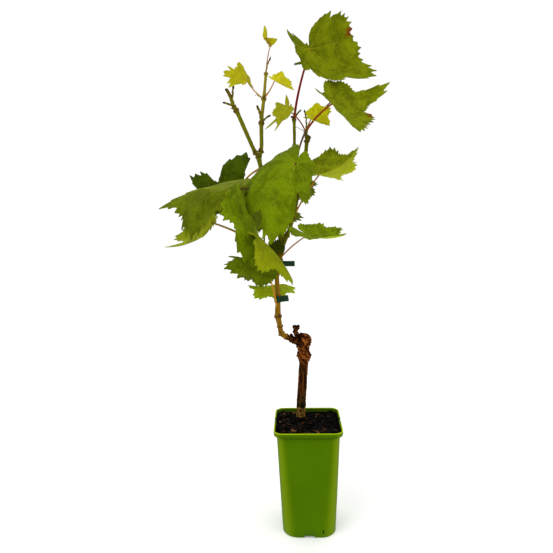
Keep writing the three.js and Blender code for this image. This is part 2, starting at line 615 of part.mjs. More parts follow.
// A thin toothed blade: a fan of points over rings from its joint out to its rim, on both faces.
function bladeSolid(blade, joint, allowance) {
  const size = blade.pose[0];
  let rings = size > LARGE_BLADE ? [0.4, 0.75, 1] : [0.55, 1];
  if (size < TIP_BLADE) rings = [1];
  const half = size > SMALL_BLADE ? TOOTH_ANGLE / 2 : TOOTH_ANGLE;
  const vertices = [];
  const triangles = [];
  const angles = [];
  const last = Math.floor(179 / half);
  for (let k = -last; k <= last; k++) angles.push(k * half);
  const facePoint = (angle, reach, face) => {
    const step = 0.02;
    const at = (da, dr) => bladePoint(blade, joint, angle + da, Math.max(reach + dr, 0));
    const turn = at(2, 0).sub(at(-2, 0));
    const out = at(0, step).sub(at(0, -step));
    const normal = new THREE.Vector3().crossVectors(out, turn).normalize();
    return at(0, 0).addScaledVector(normal, face * ((THICKNESS * size) / 2 + allowance));
  };
  const count = angles.length;
  for (const face of [1, -1]) {
    const hub = facePoint(0, 0.01, face);
    vertices.push(hub.x, hub.y, hub.z);
    for (const ring of rings) {
      angles.forEach((angle, i) => {
        const peak = (i - last) % 2 === 0 ? 1 : -1;
        const tooth = ring === 1 ? 1 + TOOTH_HEIGHT * peak : 1;
        const reach = ring * tooth * outline(angle, blade) + (ring === 1 ? allowance / size : 0);
        const point = facePoint(angle, reach, face);
        vertices.push(point.x, point.y, point.z);
      });
    }
  }
  const block = 1 + rings.length * count;
  for (let i = 0; i < count; i++) {
    const j = (i + 1) % count;
    for (const [base, flip] of [[0, false], [block, true]]) {
      const put = (a, b, c) => (flip ? triangles.push(a, c, b) : triangles.push(a, b, c));
      put(base, base + 1 + i, base + 1 + j);
      for (let ring = 0; ring + 1 < rings.length; ring++) {
        const a = base + 1 + ring * count + i;
        const b = base + 1 + ring * count + j;
        put(a, a + count, b + count);
        put(a, b + count, b);
      }
    }
    const a = 1 + (rings.length - 1) * count + i;
    const b = 1 + (rings.length - 1) * count + j;
    triangles.push(a, block + a, block + b, a, block + b, b);
  }
  return solidOf(geometryOf(vertices, triangles));
}

const PETIOLE_OVERRUN = 1.5; // how far a petiole's end is sunk in its blade

// A leaf: its blade fused on its petiole. At a shoot's tip one leaf's joint carries the next leaf. An
// allowance makes it thicker all round.
function leafSolid(name, allowance = 0) {
  const leaf = LEAVES[name];
  let foot = nodesOf(leaf.on[0])[leaf.on[1]];
  let solid = null;
  for (let part = leaf; part; part = part.next) {
    const [length, lean, bearing, bow, radius] = part.petiole;
    const joint = foot.clone().addScaledVector(heading(lean, bearing), length);
    const end = bladePoint(part.blade, joint, 0, PETIOLE_OVERRUN / part.blade.pose[0]);
    const middle = foot.clone().lerp(joint, 0.5).addScaledVector(heading(lean - 90, bearing), 2 * bow);
    const curve = new THREE.QuadraticBezierCurve3(foot, middle, end);
    const thickness = (t) => radius * (1.15 - 0.35 * t) + allowance;
    const petiole = solidOf(skin(limbRings(curve, [0, 0.33, 0.67, 1], 5, thickness)));
    const grownLeaf = petiole.add(bladeSolid(part.blade, joint, allowance));
    solid = solid ? solid.add(grownLeaf) : grownLeaf;
    foot = joint;
  }
  return solid;
}

// Solids a little thicker than they are, made once.
const grownSolids = new Map();
function grown(name) {
  if (!grownSolids.has(name)) {
    grownSolids.set(name, name in STEMS ? stemSolid(name, GAP) : leafSolid(name, GAP));
  }
  return grownSolids.get(name);
}

// A leaf cut clear of every stem and of the leaves listed before it.
function makeLeaf(name) {
  const before = Object.keys(LEAVES).slice(0, Object.keys(LEAVES).indexOf(name));
  let solid = leafSolid(name);
  for (const other of [...Object.keys(STEMS), ...before]) solid = solid.subtract(grown(other));
  return largest(solid);
}

// ---- The plant ----------------------------------------------------------------------------------

// A named mesh with a finish from a solid.
function meshOf(name, solid, finish) {
  const { numProp, vertProperties, triVerts } = solid.getMesh();
  const geometry = new THREE.BufferGeometry();
  geometry.setAttribute("position", new THREE.BufferAttribute(new Float32Array(vertProperties), numProp));
  geometry.setIndex(new THREE.BufferAttribute(new Uint32Array(triVerts), 1));
  const flat = geometry.toNonIndexed();
  flat.computeVertexNormals();
  const mesh = new THREE.Mesh(flat, new THREE.MeshStandardMaterial({ ...FINISH[finish], metalness: 0 }));
  mesh.name = name;
  return mesh;
}

const grapevine = new THREE.Group();
grapevine.name = "grapevine";
grapevine.add(meshOf("pot", makePot(), "pot"));
grapevine.add(meshOf("soil", makeSoil(), "soil"));
for (const name of Object.keys(STEMS)) grapevine.add(meshOf(name, makeStem(name), STEMS[name].finish));
for (const [name, tie] of Object.entries(TIES)) {
  grapevine.add(meshOf(name, makeTie(tie), "tie"));
}
for (const name of Object.keys(LEAVES)) grapevine.add(meshOf(name, makeLeaf(name), LEAVES[name].finish));

export default grapevine;
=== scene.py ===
"""A young grafted grapevine in a tall square nursery pot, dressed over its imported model.

Sizes in the tables are in millimetres and degrees. Everything that is built is in metres.
"""

import bpy
import numpy as np
from bpy.props import FloatProperty, FloatVectorProperty, IntProperty, PointerProperty
from mathutils import Matrix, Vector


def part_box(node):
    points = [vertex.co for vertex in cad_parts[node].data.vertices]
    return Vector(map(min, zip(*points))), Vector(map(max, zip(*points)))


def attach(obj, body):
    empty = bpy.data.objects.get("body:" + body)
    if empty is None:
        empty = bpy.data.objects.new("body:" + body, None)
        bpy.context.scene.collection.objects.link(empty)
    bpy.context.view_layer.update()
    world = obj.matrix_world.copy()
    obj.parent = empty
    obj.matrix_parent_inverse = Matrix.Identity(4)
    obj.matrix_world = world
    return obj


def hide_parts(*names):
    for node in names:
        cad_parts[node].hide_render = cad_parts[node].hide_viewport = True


bl_info = {
    "name": "Potted grapevine",
    "version": (1, 0, 0),
    "blender": (4, 5, 0),
    "location": "View3D > Sidebar > Grapevine",
    "description": "Builds a young grafted grapevine in a square nursery pot",
    "category": "Add Mesh",
}

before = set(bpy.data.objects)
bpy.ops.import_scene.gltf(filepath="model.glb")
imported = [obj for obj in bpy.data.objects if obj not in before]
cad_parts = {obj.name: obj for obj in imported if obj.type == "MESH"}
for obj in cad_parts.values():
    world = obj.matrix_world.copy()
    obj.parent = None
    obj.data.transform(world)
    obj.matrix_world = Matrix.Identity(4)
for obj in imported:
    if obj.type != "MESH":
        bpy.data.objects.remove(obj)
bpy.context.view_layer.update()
MM = 0.001
POT_LOW, POT_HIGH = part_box("pot")

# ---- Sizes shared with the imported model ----

BODY_WIDTH = 82  # just under the lip
FOOT_WIDTH = 71
FOOT_BEVEL = 1.5
FOOT_RADIUS = 20  # the corners grow rounder toward the foot
CORNER_RADIUS = 12
LIP_HEIGHT = 7
NOTCH = {"width": 13, "height": 3}
SLIT = {"width": 1.4, "height": 5, "side": 18, "level": 6}
DRAIN = {"radius": 4, "spread": 19}
SOIL_LEVEL = 141
SOIL_RELIEF = 1.6
TRUNK_FOOT = (-9.5, 24)
TRUNK_SUNK = 3
FOOT_FLAT = 9.5  # radius of level soil round the trunk
GAP = 0.3

# ---- Sizes of the finer surfaces made here ----

WALL_BOW = 0.5  # how far a thin wall bows out between its corners
LEDGE = 0.6  # how far the lip's inner wall leans in over its height
LEDGE_COVER = 1.6  # how far over the neck the soil lies where the lip widens
SOIL_MOUND = 2.4  # round the trunk
SOIL_HEAP = 2.6  # along the left and right walls
SOIL_RINGS = 56
SOIL_STEPS = (14, 40)  # columns of the soil's mesh in a corner and along a side
CHIP_SEED = 11  # of the first colour, and one more for each further colour
CHIP_MARGIN = 4  # how far the chips stay from the pot's neck
# A chip's four rings: its girth there, and its middle.
SPLINTER = ((0.75, (-0.8, 0, 0)), (1, (-0.2, 0.1, 0)), (0.9, (0.5, 0, 0.1)), (0.3, (1, -0.1, 0)))
# Bumps of the compost and the bark: height, size, seed and stretch.
CRUMBS = ((0.7, 9, 3), (0.45, 3.5, 4), (0.25, 1.8, 5))
RIDGES = ((1, 2.6, 21, (1, 1, 9)), (0.6, 1.2, 22, (1, 1, 4)))
KNOBS = ((1.2, 11, 23), (1.1, 5, 24), (0.7, 2.6, 25))
GRAFT_RINGS = ((3.2, 1.5), (-1.5, 1.2))  # how far each lies over the graft, and its width
# The healed patch: the levels over the soil where it ends and is whole, and how far behind its pit.
SCAR = {"top": (18, 14.5), "depth": (12, 6)}
PIT = {"middle": (0.2, -8.2, 10.5), "radius": 1.8, "squash": (1, 0.3, 0.8)}
NODE_REACH = 0.08  # how far a node's swelling reaches, as a share of an internode
TIE_COLUMNS = 72
# The mesh of a limb: its columns, and its rows along one internode or, from the stub on, in all.
MESH = {"bark": (72, 40), "shoot": (28, 36), "stub": (24, 14), "bud": (14, 12), "tendril": (8, 90),
        "bare stalk": (12, 20), "stalk": (14, 40)}

# ---- Stems and leaves ----

# A stem: its finish, the stem and node that it stands on, its radius there, the swelling of its nodes
# or the knobs of its bark, its internodes [length, lean, bearing, end radius] and its cut stubs
# [node, length, lean, bearing, radius].
STEMS = {
    "trunk": {
        "finish": "bark", "on": None, "radius": 8.2, "knobs": 0.07,
        "internodes": [(6, 4, -40, 6.4), (45, 4, -22, 6), (32, 5, -20, 6.1), (6, 5, -40, 8.2),
                       (5, 6, -70, 8.8), (6, 4, 180, 7.2), (12, 5, -100, 9.9), (8, 8, 10, 8.4),
                       (4, 12, 10, 5.6)],
        "stubs": [(0, 6, 92, -90, 3.4), (7, 12, 60, 20, 4.2), (5, 10, 85, 150, 4.4),
                  (7, 11, 75, -70, 4.6)],
    },
    "trunk_spur": {
        "finish": "bark", "on": ("trunk", 7), "radius": 3.8, "knobs": 0.12,
        "internodes": [(8, 45, -175, 3.6), (9, 30, 175, 2.8), (7, 5, -90, 4.4), (3, 20, 0, 3.2)],
        "stubs": [(3, 6, 55, -10, 2.3), (3, 5, 70, 170, 2.2)],
    },
    "cane_arm": {
        "finish": "bark", "on": ("trunk", 7), "radius": 6.2, "knobs": 0.1,
        "internodes": [(9, 75, -150, 5.6), (10, 66, -154, 4.2), (10, 62, -154, 3.2)],
        "stubs": [(2, 8, 15, -120, 2.3)],
    },
    "cane": {
        "finish": "cane", "on": ("cane_arm", 3), "radius": 3, "swelling": 0.9,
        "internodes": [(8, 52, -158, 3.1), (11, 18, -122, 2.8), (14, 14, -128, 3.6),
                       (27, 3, -80, 2.7), (31, 1, -170, 2.6), (19, 12, 0, 2.7), (13, 11, 0, 3.4)],
        "stubs": [(3, 5, 60, 20, 1.4), (5, 6, 50, 10, 1.3)],
    },
    "shoot_left": {
        "finish": "shoot", "on": ("cane", 7), "radius": 2.2, "swelling": 0.7,
        "internodes": [(30, 17, -111, 2.1), (40, 15, 180, 2), (37, 16, -168, 2), (15, 11, 180, 3.2)],
        "stubs": [],
    },
    "shoot_left_arm": {
        "finish": "shoot", "on": ("shoot_left", 4), "radius": 2.6, "swelling": 1.2,
        "internodes": [(5, 40, -170, 2.1), (57, 26, -154, 2.2), (5, 40, -150, 3.1)],
        "stubs": [(3, 23, 22, 172, 1.8), (3, 24, 3, 10, 1), (3, 14, 68, 175, 1)],
    },
    "shoot_left_top": {
        "finish": "shoot", "on": ("shoot_left", 4), "radius": 2.6, "swelling": 1.1,
        "internodes": [(7, 30, 30, 2.1), (37, 10, 80, 2.1), (31, 11, 55, 1.7), (33, 8, 42, 1.4)],
        "stubs": [(2, 22, 14, 170, 1.5), (2, 15, 52, 0, 1), (3, 11, 38, -5, 0.6),
                  (4, 20, 20, -10, 0.8)],
    },
    "shoot_middle": {
        "finish": "shoot", "on": ("cane", 7), "radius": 2, "swelling": 1,
        "internodes": [(36, 20, 70, 1.9), (69, 12, 46, 1.8), (33, 12, 48, 1.7), (37, 5, 82, 1.8)],
        "stubs": [(4, 15, 42, -10, 0.9), (4, 7, 75, -120, 1.3)],
    },
    "shoot_right": {
        "finish": "shoot", "on": ("cane", 7), "radius": 2.2, "swelling": 1,
        "internodes": [(20, 27, -30, 2.1), (24, 22, -26, 2.1), (29, 15, -33, 1.9),
                       (42, 13, -24, 1.8), (25, 10, -40, 2.1), (11, 6, 180, 1.7)],
        "stubs": [(5, 7, 40, -30, 2.2), (6, 27, 3, 180, 0.7)],
    },
}

LOBE_STEP = 48  # degrees from one lobe tip to the next
LOBE_REACH = np.array([1, 0.88, 0.72, 0.52])  # of the middle, lateral and basal lobes and the heel
NOTCH_DEPTH = np.array([0.16, 0.13, 0.05])
NOTCH_SPREAD = 0.22
LOBE_WAIST = 0.05
JOINT_REACH = 0.06  # where the outline comes back to the joint
FOLD_SOFTNESS = 0.06
TOOTH_HEIGHT = 0.066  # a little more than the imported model's
TOOTH_COLUMNS = 6  # columns of the mesh per tooth
LARGE_BLADE = 55
BLADE_MESH = {True: (7, 22), False: (5, 15)}  # teeth per lobe and rings of a large and a small blade
VEIN_WIDTH = 1.3


def leaf(on, stalk, pose, curl, fold, ripple, left, right, **own):
    """A row of the table of leaves: its own values over those that most leaves share."""
    return {"on": on, "stalk": stalk, "pose": pose, "curl": curl, "fold": fold, "ripple": ripple,
            "left": left, "right": right, "finish": "leaf", "green": "deep", "red": "olive", "light": 1,
            "glow": 0, "dry": (0, 0), "centre": 1, "cut": 1, "trims": (), "next": None, **own}


# A leaf: the stem and node that carry it, its stalk (length, lean, bearing, bow, radius), its blade's
# pose (length, lean, bearing, roll), its curl in degrees per blade length (along, left, right), its
# fold along the midrib, its ripple (height, phase), and how far the lateral and basal lobes and the
# heel of its left and its right side reach. Then by name: its finish, the names of its colours, how
# light it is (a factor on all its colours, which paints the light and shade on the whole leaf), how
# strongly its left (+) or right (-) half glows (painted light in its glow colour), a dry lobe (share,
# angle), how far its middle lobe reaches, how deep its notches are cut, its trims (angle, change,
# width), and the leaf that stands on its joint.
LEAVES = {
    "leaf_top": leaf(
        ("shoot_middle", 4), (86, 24, -53, 4, 1.3), (89, 123, 27, 83), (-51, 1, -54), 0.32, (0.15, 162),
        (0.95, 0.76, 0.3), (1.12, 0.9, 0.8), green="sunny", red="crimson", light=1.5, dry=(0.95, 54), cut=1.2,
        trims=[(142, -0.8, 13), (-157, 0.75, 8), (-176, 1.5, 6), (-72, -0.35, 15), (-57, -0.15, 8),
               (48, -0.17, 12), (24, 0.05, 12), (72, 0.18, 9), (90, -0.15, 4)]),
    "leaf_upper_right": leaf(
        ("shoot_right", 6), (49, 51, -30, 3, 1.1), (60, 127, 6, 37), (-27, -45, -5), 0.21, (-0.12, 230),
        (1.24, 0.84), (1.24, 0.96), green="sunny", red="red", light=1.58, dry=(0.8, 3), centre=0.85, cut=1.3,
        trims=[(50, 0.25, 7), (40, 0.12, 4), (66, -0.1, 6), (-24, 0.18, 10), (12, -0.2, 5)]),
    "leaf_young_right": leaf(
        ("shoot_right", 6), (25, 36, 61, 0, 0.7), (29, 106, -39, 35), (25, -33, -37), 0.3, (0.02, 255),
        (0.96, 1), (1.04, 1), finish="young", green="tender", red="amber", light=1.65,
        trims=[(-120, -0.6, 40), (150, 0.25, 8)]),
    "leaf_young_middle": leaf(
        ("shoot_right", 6), (36, 45, -147, 3, 0.7), (23, 150, -175, -45), (-15, -10, -14), 0.25, (0.1, 304),
        (1.13, 0.92), (0.97, 1.06), finish="young", green="dusky", red="red", light=1.27, cut=1.2,
        trims=[(-144, 0.45, 8), (-115, -0.55, 14), (2, 0.35, 4), (-20, 1, 3), (130, -0.5, 35)]),
    "leaf_young_left": leaf(
        ("shoot_left_top", 3), (28, 48, -49, -2, 0.7), (29, 125, -11, 15), (-14, -36, 6), 0.21, (0.12, 184),
        (0.92, 1.1), (1.03, 0.9), finish="young", green="gold", red="amber", light=1.68,
        trims=[(144, -0.6, 20), (-120, -0.7, 35), (110, -0.2, 12)]),
    "leaf_tip_left": leaf(
        ("shoot_left_top", 3), (37, 42, 158, -2, 0.7), (36, 45, 117, 12), (-12, 51, 48), -0.26, (0, 0),
        (1.03, 1), (0.95, 0.89), finish="young", green="straw", red="amber", light=1.27, cut=1.8,
        trims=[(60, 0.12, 5), (38, -0.25, 3), (30, 0.35, 3), (12, -0.2, 3), (-14, -0.2, 4), (-96, -0.65, 40),
               (110, 0.15, 10), (96, -0.2, 4), (138, -0.3, 8)]),
    "tip_spray": leaf(
        ("shoot_left_top", 4), (35, 11, 19, 1, 0.6), (10, 15, -10, 80), (-20, 10, 10), 0.3, (0.02, 0),
        (1.3, 0.3), (1.3, 0.3), finish="young", green="straw", red="pink", light=1.2, centre=0.8, cut=0.6,
        next=leaf(
            None, (13, 33, -175, -1, 0.5), (13, 12, 150, 60), (-20, 70, 70), 0.5, (0, 0), (0.6, 0.5),
            (0.6, 0.5), cut=0.6)),
    "leaf_front": leaf(
        ("shoot_right", 6), (89, 122, -100, 4, 1), (90, 138, -113, -27), (44, 70, 52), -0.5, (0.12, 351),
        (0.51, 0.4, 0.6), (1.25, 1.24, 1), green="open", red="plum", light=1.45, cut=1.5,
        trims=[(20, -0.35, 3.5), (180, 1.4, 16)]),
    "leaf_front_left": leaf(
        ("shoot_left", 2), (46, 79, -139, 5, 1.1), (94, 144, -59, -47), (28, 25, 2), -0.02, (0.12, 5),
        (1.05, 0.8, 0.3), (1.02, 0.38, 0.15), green="open", red="plum", light=1.9, cut=1.2,
        trims=[(-98, -0.92, 36)]),
    "leaf_far_left": leaf(
        ("shoot_left", 3), (33, 111, 134, 2, 1.1), (121, 92, 159, -172), (-60, 33, -14), 0.34, (-0.15, 267),
        (1, 0.4), (1.25, 0.82, 0.3), green="ridge", red="amber", light=1.1, cut=1.5,
        trims=[(-24, 0.15, 10), (-38, -0.12, 6), (-60, -0.1, 8)]),
    "leaf_low_left": leaf(
        ("cane", 6), (162, 72, 133, 5, 1.5), (83, 144, -149, -140), (53, 67, -1), -0.06, (-0.15, 31),
        (1, 0.5, 0.4), (1.11, 0.62, 0.42), green="bright", red="golden", light=1.2, cut=1.6,
        trims=[(72, -0.75, 22), (46, -0.75, 15), (26, -0.4, 8), (10, -0.3, 4)]),
    "leaf_low_front": leaf(
        ("cane", 3), (78, 24, -113, 4, 1), (58, 80, -134, -25), (28, 2, 9), -0.12, (0.11, 146), (0.96, 0.89),
        (0.95, 1), green="shaded", red="amber", light=1.95,
        trims=[(110, -0.5, 30)]),
    "leaf_folded": leaf(
        ("shoot_left", 2), (88, 127, -94, 3, 0.9), (57, 131, -22, -14), (35, -14, 20), -0.19, (-0.12, 237),
        (0.87, 1), (1.07, 1.06), finish="young", green="bright", light=1.12,
        trims=[(-115, -0.7, 35)]),
    "leaf_lowest": leaf(
        ("cane", 3), (63, 57, 100, 2, 0.8), (43, 94, -74, 5), (35, 14, -22), -0.11, (-0.11, 231),
        (0.96, 1.09), (1.03, 1.08), finish="young", green="fresh", light=3),
    "leaf_crown": leaf(
        ("cane", 7), (10, 100, -123, 1, 0.8), (17, 35, 180, 80), (20, 40, 40), 0.1, (0.05, 0), (1, 1), (1, 1),
        green="dark"),
    "leaf_right": leaf(
        ("cane", 7), (107, 30, -26, 5, 1), (60, 81, 15, 20), (-39, -28, 12), 0.31, (0.11, 104), (1.01, 0.78),
        (0.97, 1.17), green="backlit", red="amber", light=1.95, glow=-0.9,
        trims=[(115, -0.55, 28), (-84, 0.2, 8), (12, -0.12, 6)]),
    "leaf_low_right": leaf(
        ("cane", 6), (61, 58, -47, 2, 0.8), (50, 110, -27, 2), (-38, -25, 22), 0.19, (0.01, 150),
        (1.08, 0.96), (1.02, 0.94), green="open", red="amber", light=2.65),
    "leaf_back_right": leaf(
        ("shoot_right", 3), (36, 75, 102, 2, 0.9), (36, 110, 140, 10), (25, 20, 15), 0.15, (0.08, 40), (1, 1),
        (1, 1)),
    "leaf_back_left": leaf(
        ("shoot_middle", 1), (68, 71, 120, 4, 1), (62, 120, 60, -15), (30, 20, 10), 0.12, (0.09, 120),
        (0.98, 1), (1.05, 0.95), cut=1.1),
    "leaf_back_middle": leaf(
        ("shoot_middle", 2), (69, 94, 97, 4, 1.1), (60, 115, 85, 5), (35, 5, 20), 0.1, (0.1, 200),
        (1.02, 0.95), (1, 1.03)),
    "leaf_back_low": leaf(
        ("shoot_right", 2), (62, 73, 122, 3, 0.9), (50, 105, 110, 10), (25, 15, 5), 0.18, (0.07, 300),
        (1, 0.95), (0.96, 1)),
    "leaf_back_lowest": leaf(
        ("cane", 5), (55, 90, 121, 4, 0.8), (38, 110, 120, 0), (25, 10, 10), 0.1, (0.08, 90), (1, 1),
        (1, 0.95), finish="young"),
    "leaf_back_top": leaf(
        ("shoot_middle", 4), (99, 28, 66, 4, 1), (32, 70, 40, 0), (30, 15, 15), 0.12, (0.09, 60), (1, 1),
        (1.04, 0.96)),
    "leaf_back_upper_right": leaf(
        ("shoot_right", 6), (83, 50, 46, 3, 0.9), (30, 100, 60, 15), (20, 20, 10), 0.15, (0.08, 10), (1, 1),
        (1, 1), finish="young"),
    "leaf_back_far_left": leaf(
        ("shoot_left", 2), (105, 94, 130, 4, 1), (92, 20, 78, 1), (44, -70, 70), 0.04, (0.15, 116),
        (0.7, 0.55, 0.3), (0.95, 0.5, 0.3), green="moss", light=0.85, cut=2.4,
        trims=[(-12, 0.15, 7), (12, 0.1, 6), (60, 0.35, 13), (36, 0.15, 6)]),
}

# ---- Colours ----

VARIETY = {"leaf": 1, "young": 0.45}  # how strongly a blade is mottled

# The colours of a blade: its upper side, its underside, its veins, and where light glows through it,
# as painted light. Sunny, backlit and bright are lighter copies of one leaf green, as painted light;
# shaded, deep, dark and moss are darker copies, as painted shade.
GREENS = {
    "sunny": ((0.095, 0.117, 0.0014), (0.143, 0.163, 0.0056), (0.177, 0.19, 0.008), (0.19, 0.211, 0.0068)),
    "open": ((0.08, 0.119, 0.001), (0.136, 0.17, 0.0056), (0.163, 0.197, 0.008), (0.15, 0.19, 0.0068)),
    "deep": ((0.056, 0.076, 0.0014), (0.095, 0.122, 0.0056), (0.15, 0.163, 0.008), (0.088, 0.109, 0.0034)),
    "moss": ((0.046, 0.078, 0.001), (0.07, 0.11, 0.003), (0.11, 0.145, 0.006), (0.07, 0.105, 0.003)),
    "ridge": ((0.15, 0.194, 0.003), (0.14, 0.17, 0.006), (0.27, 0.29, 0.012), (0.18, 0.21, 0.0068)),
    "shaded": ((0.061, 0.088, 0.0014), (0.102, 0.129, 0.0056), (0.136, 0.163, 0.008), (0.102, 0.136, 0.0068)),
    "dark": ((0.02, 0.034, 0.0007), (0.041, 0.054, 0.0027), (0.061, 0.075, 0.0027), (0.034, 0.048, 0.0014)),
    "fresh": ((0.112, 0.143, 0.002), (0.163, 0.19, 0.0056), (0.218, 0.238, 0.0136), (0.177, 0.211, 0.0068)),
    "bright": ((0.19, 0.224, 0.0027), (0.231, 0.258, 0.0056), (0.286, 0.306, 0.0164), (0.272, 0.299, 0.014)),
    "backlit": ((0.109, 0.136, 0.002), (0.184, 0.204, 0.0056), (0.218, 0.231, 0.0136),
                (0.204, 0.231, 0.0082)),
    "tender": ((0.299, 0.292, 0.0027), (0.326, 0.313, 0.008), (0.381, 0.367, 0.0216), (0.374, 0.34, 0.014)),
    "dusky": ((0.204, 0.211, 0.006), (0.231, 0.231, 0.006), (0.286, 0.272, 0.0216), (0.258, 0.245, 0.02)),
    "gold": ((0.36, 0.333, 0.0068), (0.374, 0.34, 0.008), (0.435, 0.394, 0.0216), (0.408, 0.367, 0.014)),
    "straw": ((0.286, 0.265, 0.0041), (0.313, 0.286, 0.008), (0.381, 0.34, 0.0216), (0.354, 0.313, 0.014)),
}
STALKS = {
    "crimson": (0.197, 0.0082, 0.0054), "red": (0.258, 0.037, 0.0068), "amber": (0.42, 0.19, 0.010),
    "plum": (0.082, 0.034, 0.0082), "pink": (0.354, 0.136, 0.041), "olive": (0.116, 0.102, 0.0054),
    "golden": (0.34, 0.215, 0.008),
}

PEAT = (0.015, 0.007, 0.004)
# hollow shade: dark between the knobs, partly painted shade; orange: partly the rust's own colour, partly
# painted highlight.
BARK = {
    "black": (0.004, 0.004, 0.002), "olive": (0.05, 0.03, 0.006), "splinter": (0.17, 0.085, 0.018),
    "hollow shade": (0.016, 0.005, 0.003), "orange": (0.28, 0.095, 0.012), "crack": (0.012, 0.005, 0.003),
    "scar": (0.14, 0.07, 0.012), "pale scar": (0.3, 0.155, 0.028), "scar crack": (0.015, 0.009, 0.004),
    # pit: near black, as painted shade in the hole.
    "scar rim": (0.01, 0.006, 0.003), "pit": (0.006, 0.004, 0.003),
}
YOUNG_SHOOT = (0.27, 0.215, 0.012)
CUT_WOOD = (0.022, 0.01, 0.005)
NODES = {"cane": (0.05, 0.02, 0.008), "shoot": (0.085, 0.036, 0.009)}
# The chips of each colour: the colour, and how many there are for each one of the setting.
CHIPS = {"chips_brown": ((0.058, 0.022, 0.008), 0.55), "chips_tan": ((0.15, 0.066, 0.018), 0.13),
         "chips_dark": ((0.003, 0.0022, 0.0018), 4.5)}

# A tie: the stem and node that it holds, how far over the node it sits, the half widths inside its
# loop, its height, the length of its tail, and how it is turned and tilted.
TIE_THICKNESS = 0.8
TIES = {
    "tie_lower": {"on": ("cane", 4), "lift": -3.5, "half": (4.4, 4), "height": 8, "tail": 10,
                  "bearing": -15, "tilt": -8},
    "tie_upper": {"on": ("cane", 6), "lift": -6, "half": (5.6, 4.8), "height": 7, "tail": 14,
                  "bearing": -10, "tilt": 0},
}


# ---- Settings ----


def colour_setting(name, description, value):
    """A colour in the panel."""
    return FloatVectorProperty(name=name, description=description, subtype="COLOR", size=3,
                               min=0, max=1, default=value)


def length_setting(name, description, value):
    """A length in the panel, in metres."""
    return FloatProperty(name=name, description=description, unit="LENGTH", min=0, default=value)


class PotSettings(bpy.types.PropertyGroup):
    """The square nursery pot."""

    height: length_setting("Height", "Height of the rim above the floor", POT_HIGH[2])
    rim: length_setting("Rim width", "Width across the rim", POT_HIGH[0] - POT_LOW[0])
    wall: length_setting("Wall", "Thickness of the plastic", 1.8 * MM)
    plastic: colour_setting("Plastic", "Colour of the moulded plastic", (0.058, 0.132, 0.0002))
    # Painted highlight: the paler colour along the rim's top.
    edge: colour_setting("Edge", "Paler colour where light comes through the rim", (0.38, 0.52, 0.004))
    # Painted highlight: the yellower colour on the rounded corners.
    corner_light: colour_setting("Thin", "Yellower colour where light comes through the corners",
                         (0.19, 0.27, 0.0006))


class SoilSettings(bpy.types.PropertyGroup):
    """The compost and the bark chips in it."""

    level: length_setting("Level", "Height of the soil above the floor", SOIL_LEVEL * MM)
    chips: IntProperty(name="Chips", description="How many chips of each colour lie on the soil",
                       min=0, default=150)
    chip: length_setting("Chip", "Mean length of a chip", 2.6 * MM)
    compost: colour_setting("Compost", "Colour of the moist compost", (0.0016, 0.0012, 0.0012))


class StemSettings(bpy.types.PropertyGroup):
    """The trunk, the cane and the green shoots."""

    relief: length_setting("Relief", "Height of the ridges of the bark", 0.5 * MM)
    bud: length_setting("Bud", "Length of a bud", 4.5 * MM)
    girth: FloatProperty(name="Girth", description="How much thicker than its solid a shoot's skin is",
                         min=1, default=1.15)
    old: colour_setting("Old bark", "Colour of the rootstock's bark", (0.072, 0.022, 0.004))
    rust: colour_setting("Rust", "Colour of the knobbly head over the graft", (0.082, 0.018, 0.003))
    ripe: colour_setting("Cane", "Colour of the ripened cane", (0.21, 0.105, 0.006))
    green: colour_setting("Shoot", "Colour of a green shoot", (0.122, 0.130, 0.002))


class LeafSettings(bpy.types.PropertyGroup):
    """The blades and their stalks."""

    thickness: length_setting("Thickness", "Thickness of a blade", 0.5 * MM)
    vein_depth: length_setting("Vein depth", "How deep the main veins are sunk", 0.55 * MM)
    vein_spacing: FloatProperty(name="Vein spacing", min=0.01, default=0.125,
                                description="Distance between the side veins, in blade lengths")
    pillow: length_setting("Pillow", "How far the blade swells between its veins", 0.5 * MM)
    dry: colour_setting("Dry", "Colour of a withered lobe", (0.17, 0.032, 0.005))


class TieSettings(bpy.types.PropertyGroup):
    """The plastic ties round the cane."""

    thickness: length_setting("Thickness", "Thickness of the tape", TIE_THICKNESS * MM)
    tape: colour_setting("Tape", "Colour of the tape", (0.004, 0.028, 0.008))


class StageSettings(bpy.types.PropertyGroup):
    """The floor, the lights and the camera."""

    floor: colour_setting("Floor", "Colour of the floor", (0.90, 0.90, 0.89))
    sky: FloatProperty(name="Sky", description="Strength of the soft light all round", min=0, default=1.03)
    lamp: FloatProperty(name="Lamp", description="Power of the large soft lamp", unit="POWER",
                        min=0, default=9)
    glow: FloatProperty(name="Floor glow", description="Light of the floor's own", min=0, default=0.15)
    lens: FloatProperty(name="Lens", description="Focal length in millimetres", min=1, default=31.96)


# ---- Curves and surfaces ----


def heading(lean, bearing):
    """A unit vector that leans from straight up toward a bearing from +X to +Y, both in degrees."""
    lean, bearing = np.radians(lean), np.radians(bearing)
    return np.array([np.sin(lean) * np.cos(bearing), np.sin(lean) * np.sin(bearing), np.cos(lean)])


def unit(vectors):
    """Vectors divided by their lengths."""
    return vectors / np.maximum(np.linalg.norm(vectors, axis=-1, keepdims=True), 1e-12)


def smoothstep(low, high, value):
    """3t^2 - 2t^3 of the share of the way from low to high."""
    share = np.clip((value - low) / (high - low), 0, 1)
    return share * share * (3 - 2 * share)


def lumps(points, size, seed, stretch=(1, 1, 1)):
    """A smooth bumpy field about -1 to 1: the mean of twelve plane waves of seeded directions whose
    wave lengths lie about a size, each axis stretched by its factor."""
    rng = np.random.default_rng(seed)
    waves = unit(rng.normal(size=(12, 3))) * rng.uniform(0.6, 1.6, (12, 1)) * 2 * np.pi / size
    phases = rng.uniform(0, 2 * np.pi, 12)
    return np.sin(points @ (waves / np.array(stretch)).T + phases).sum(axis=-1) / 4


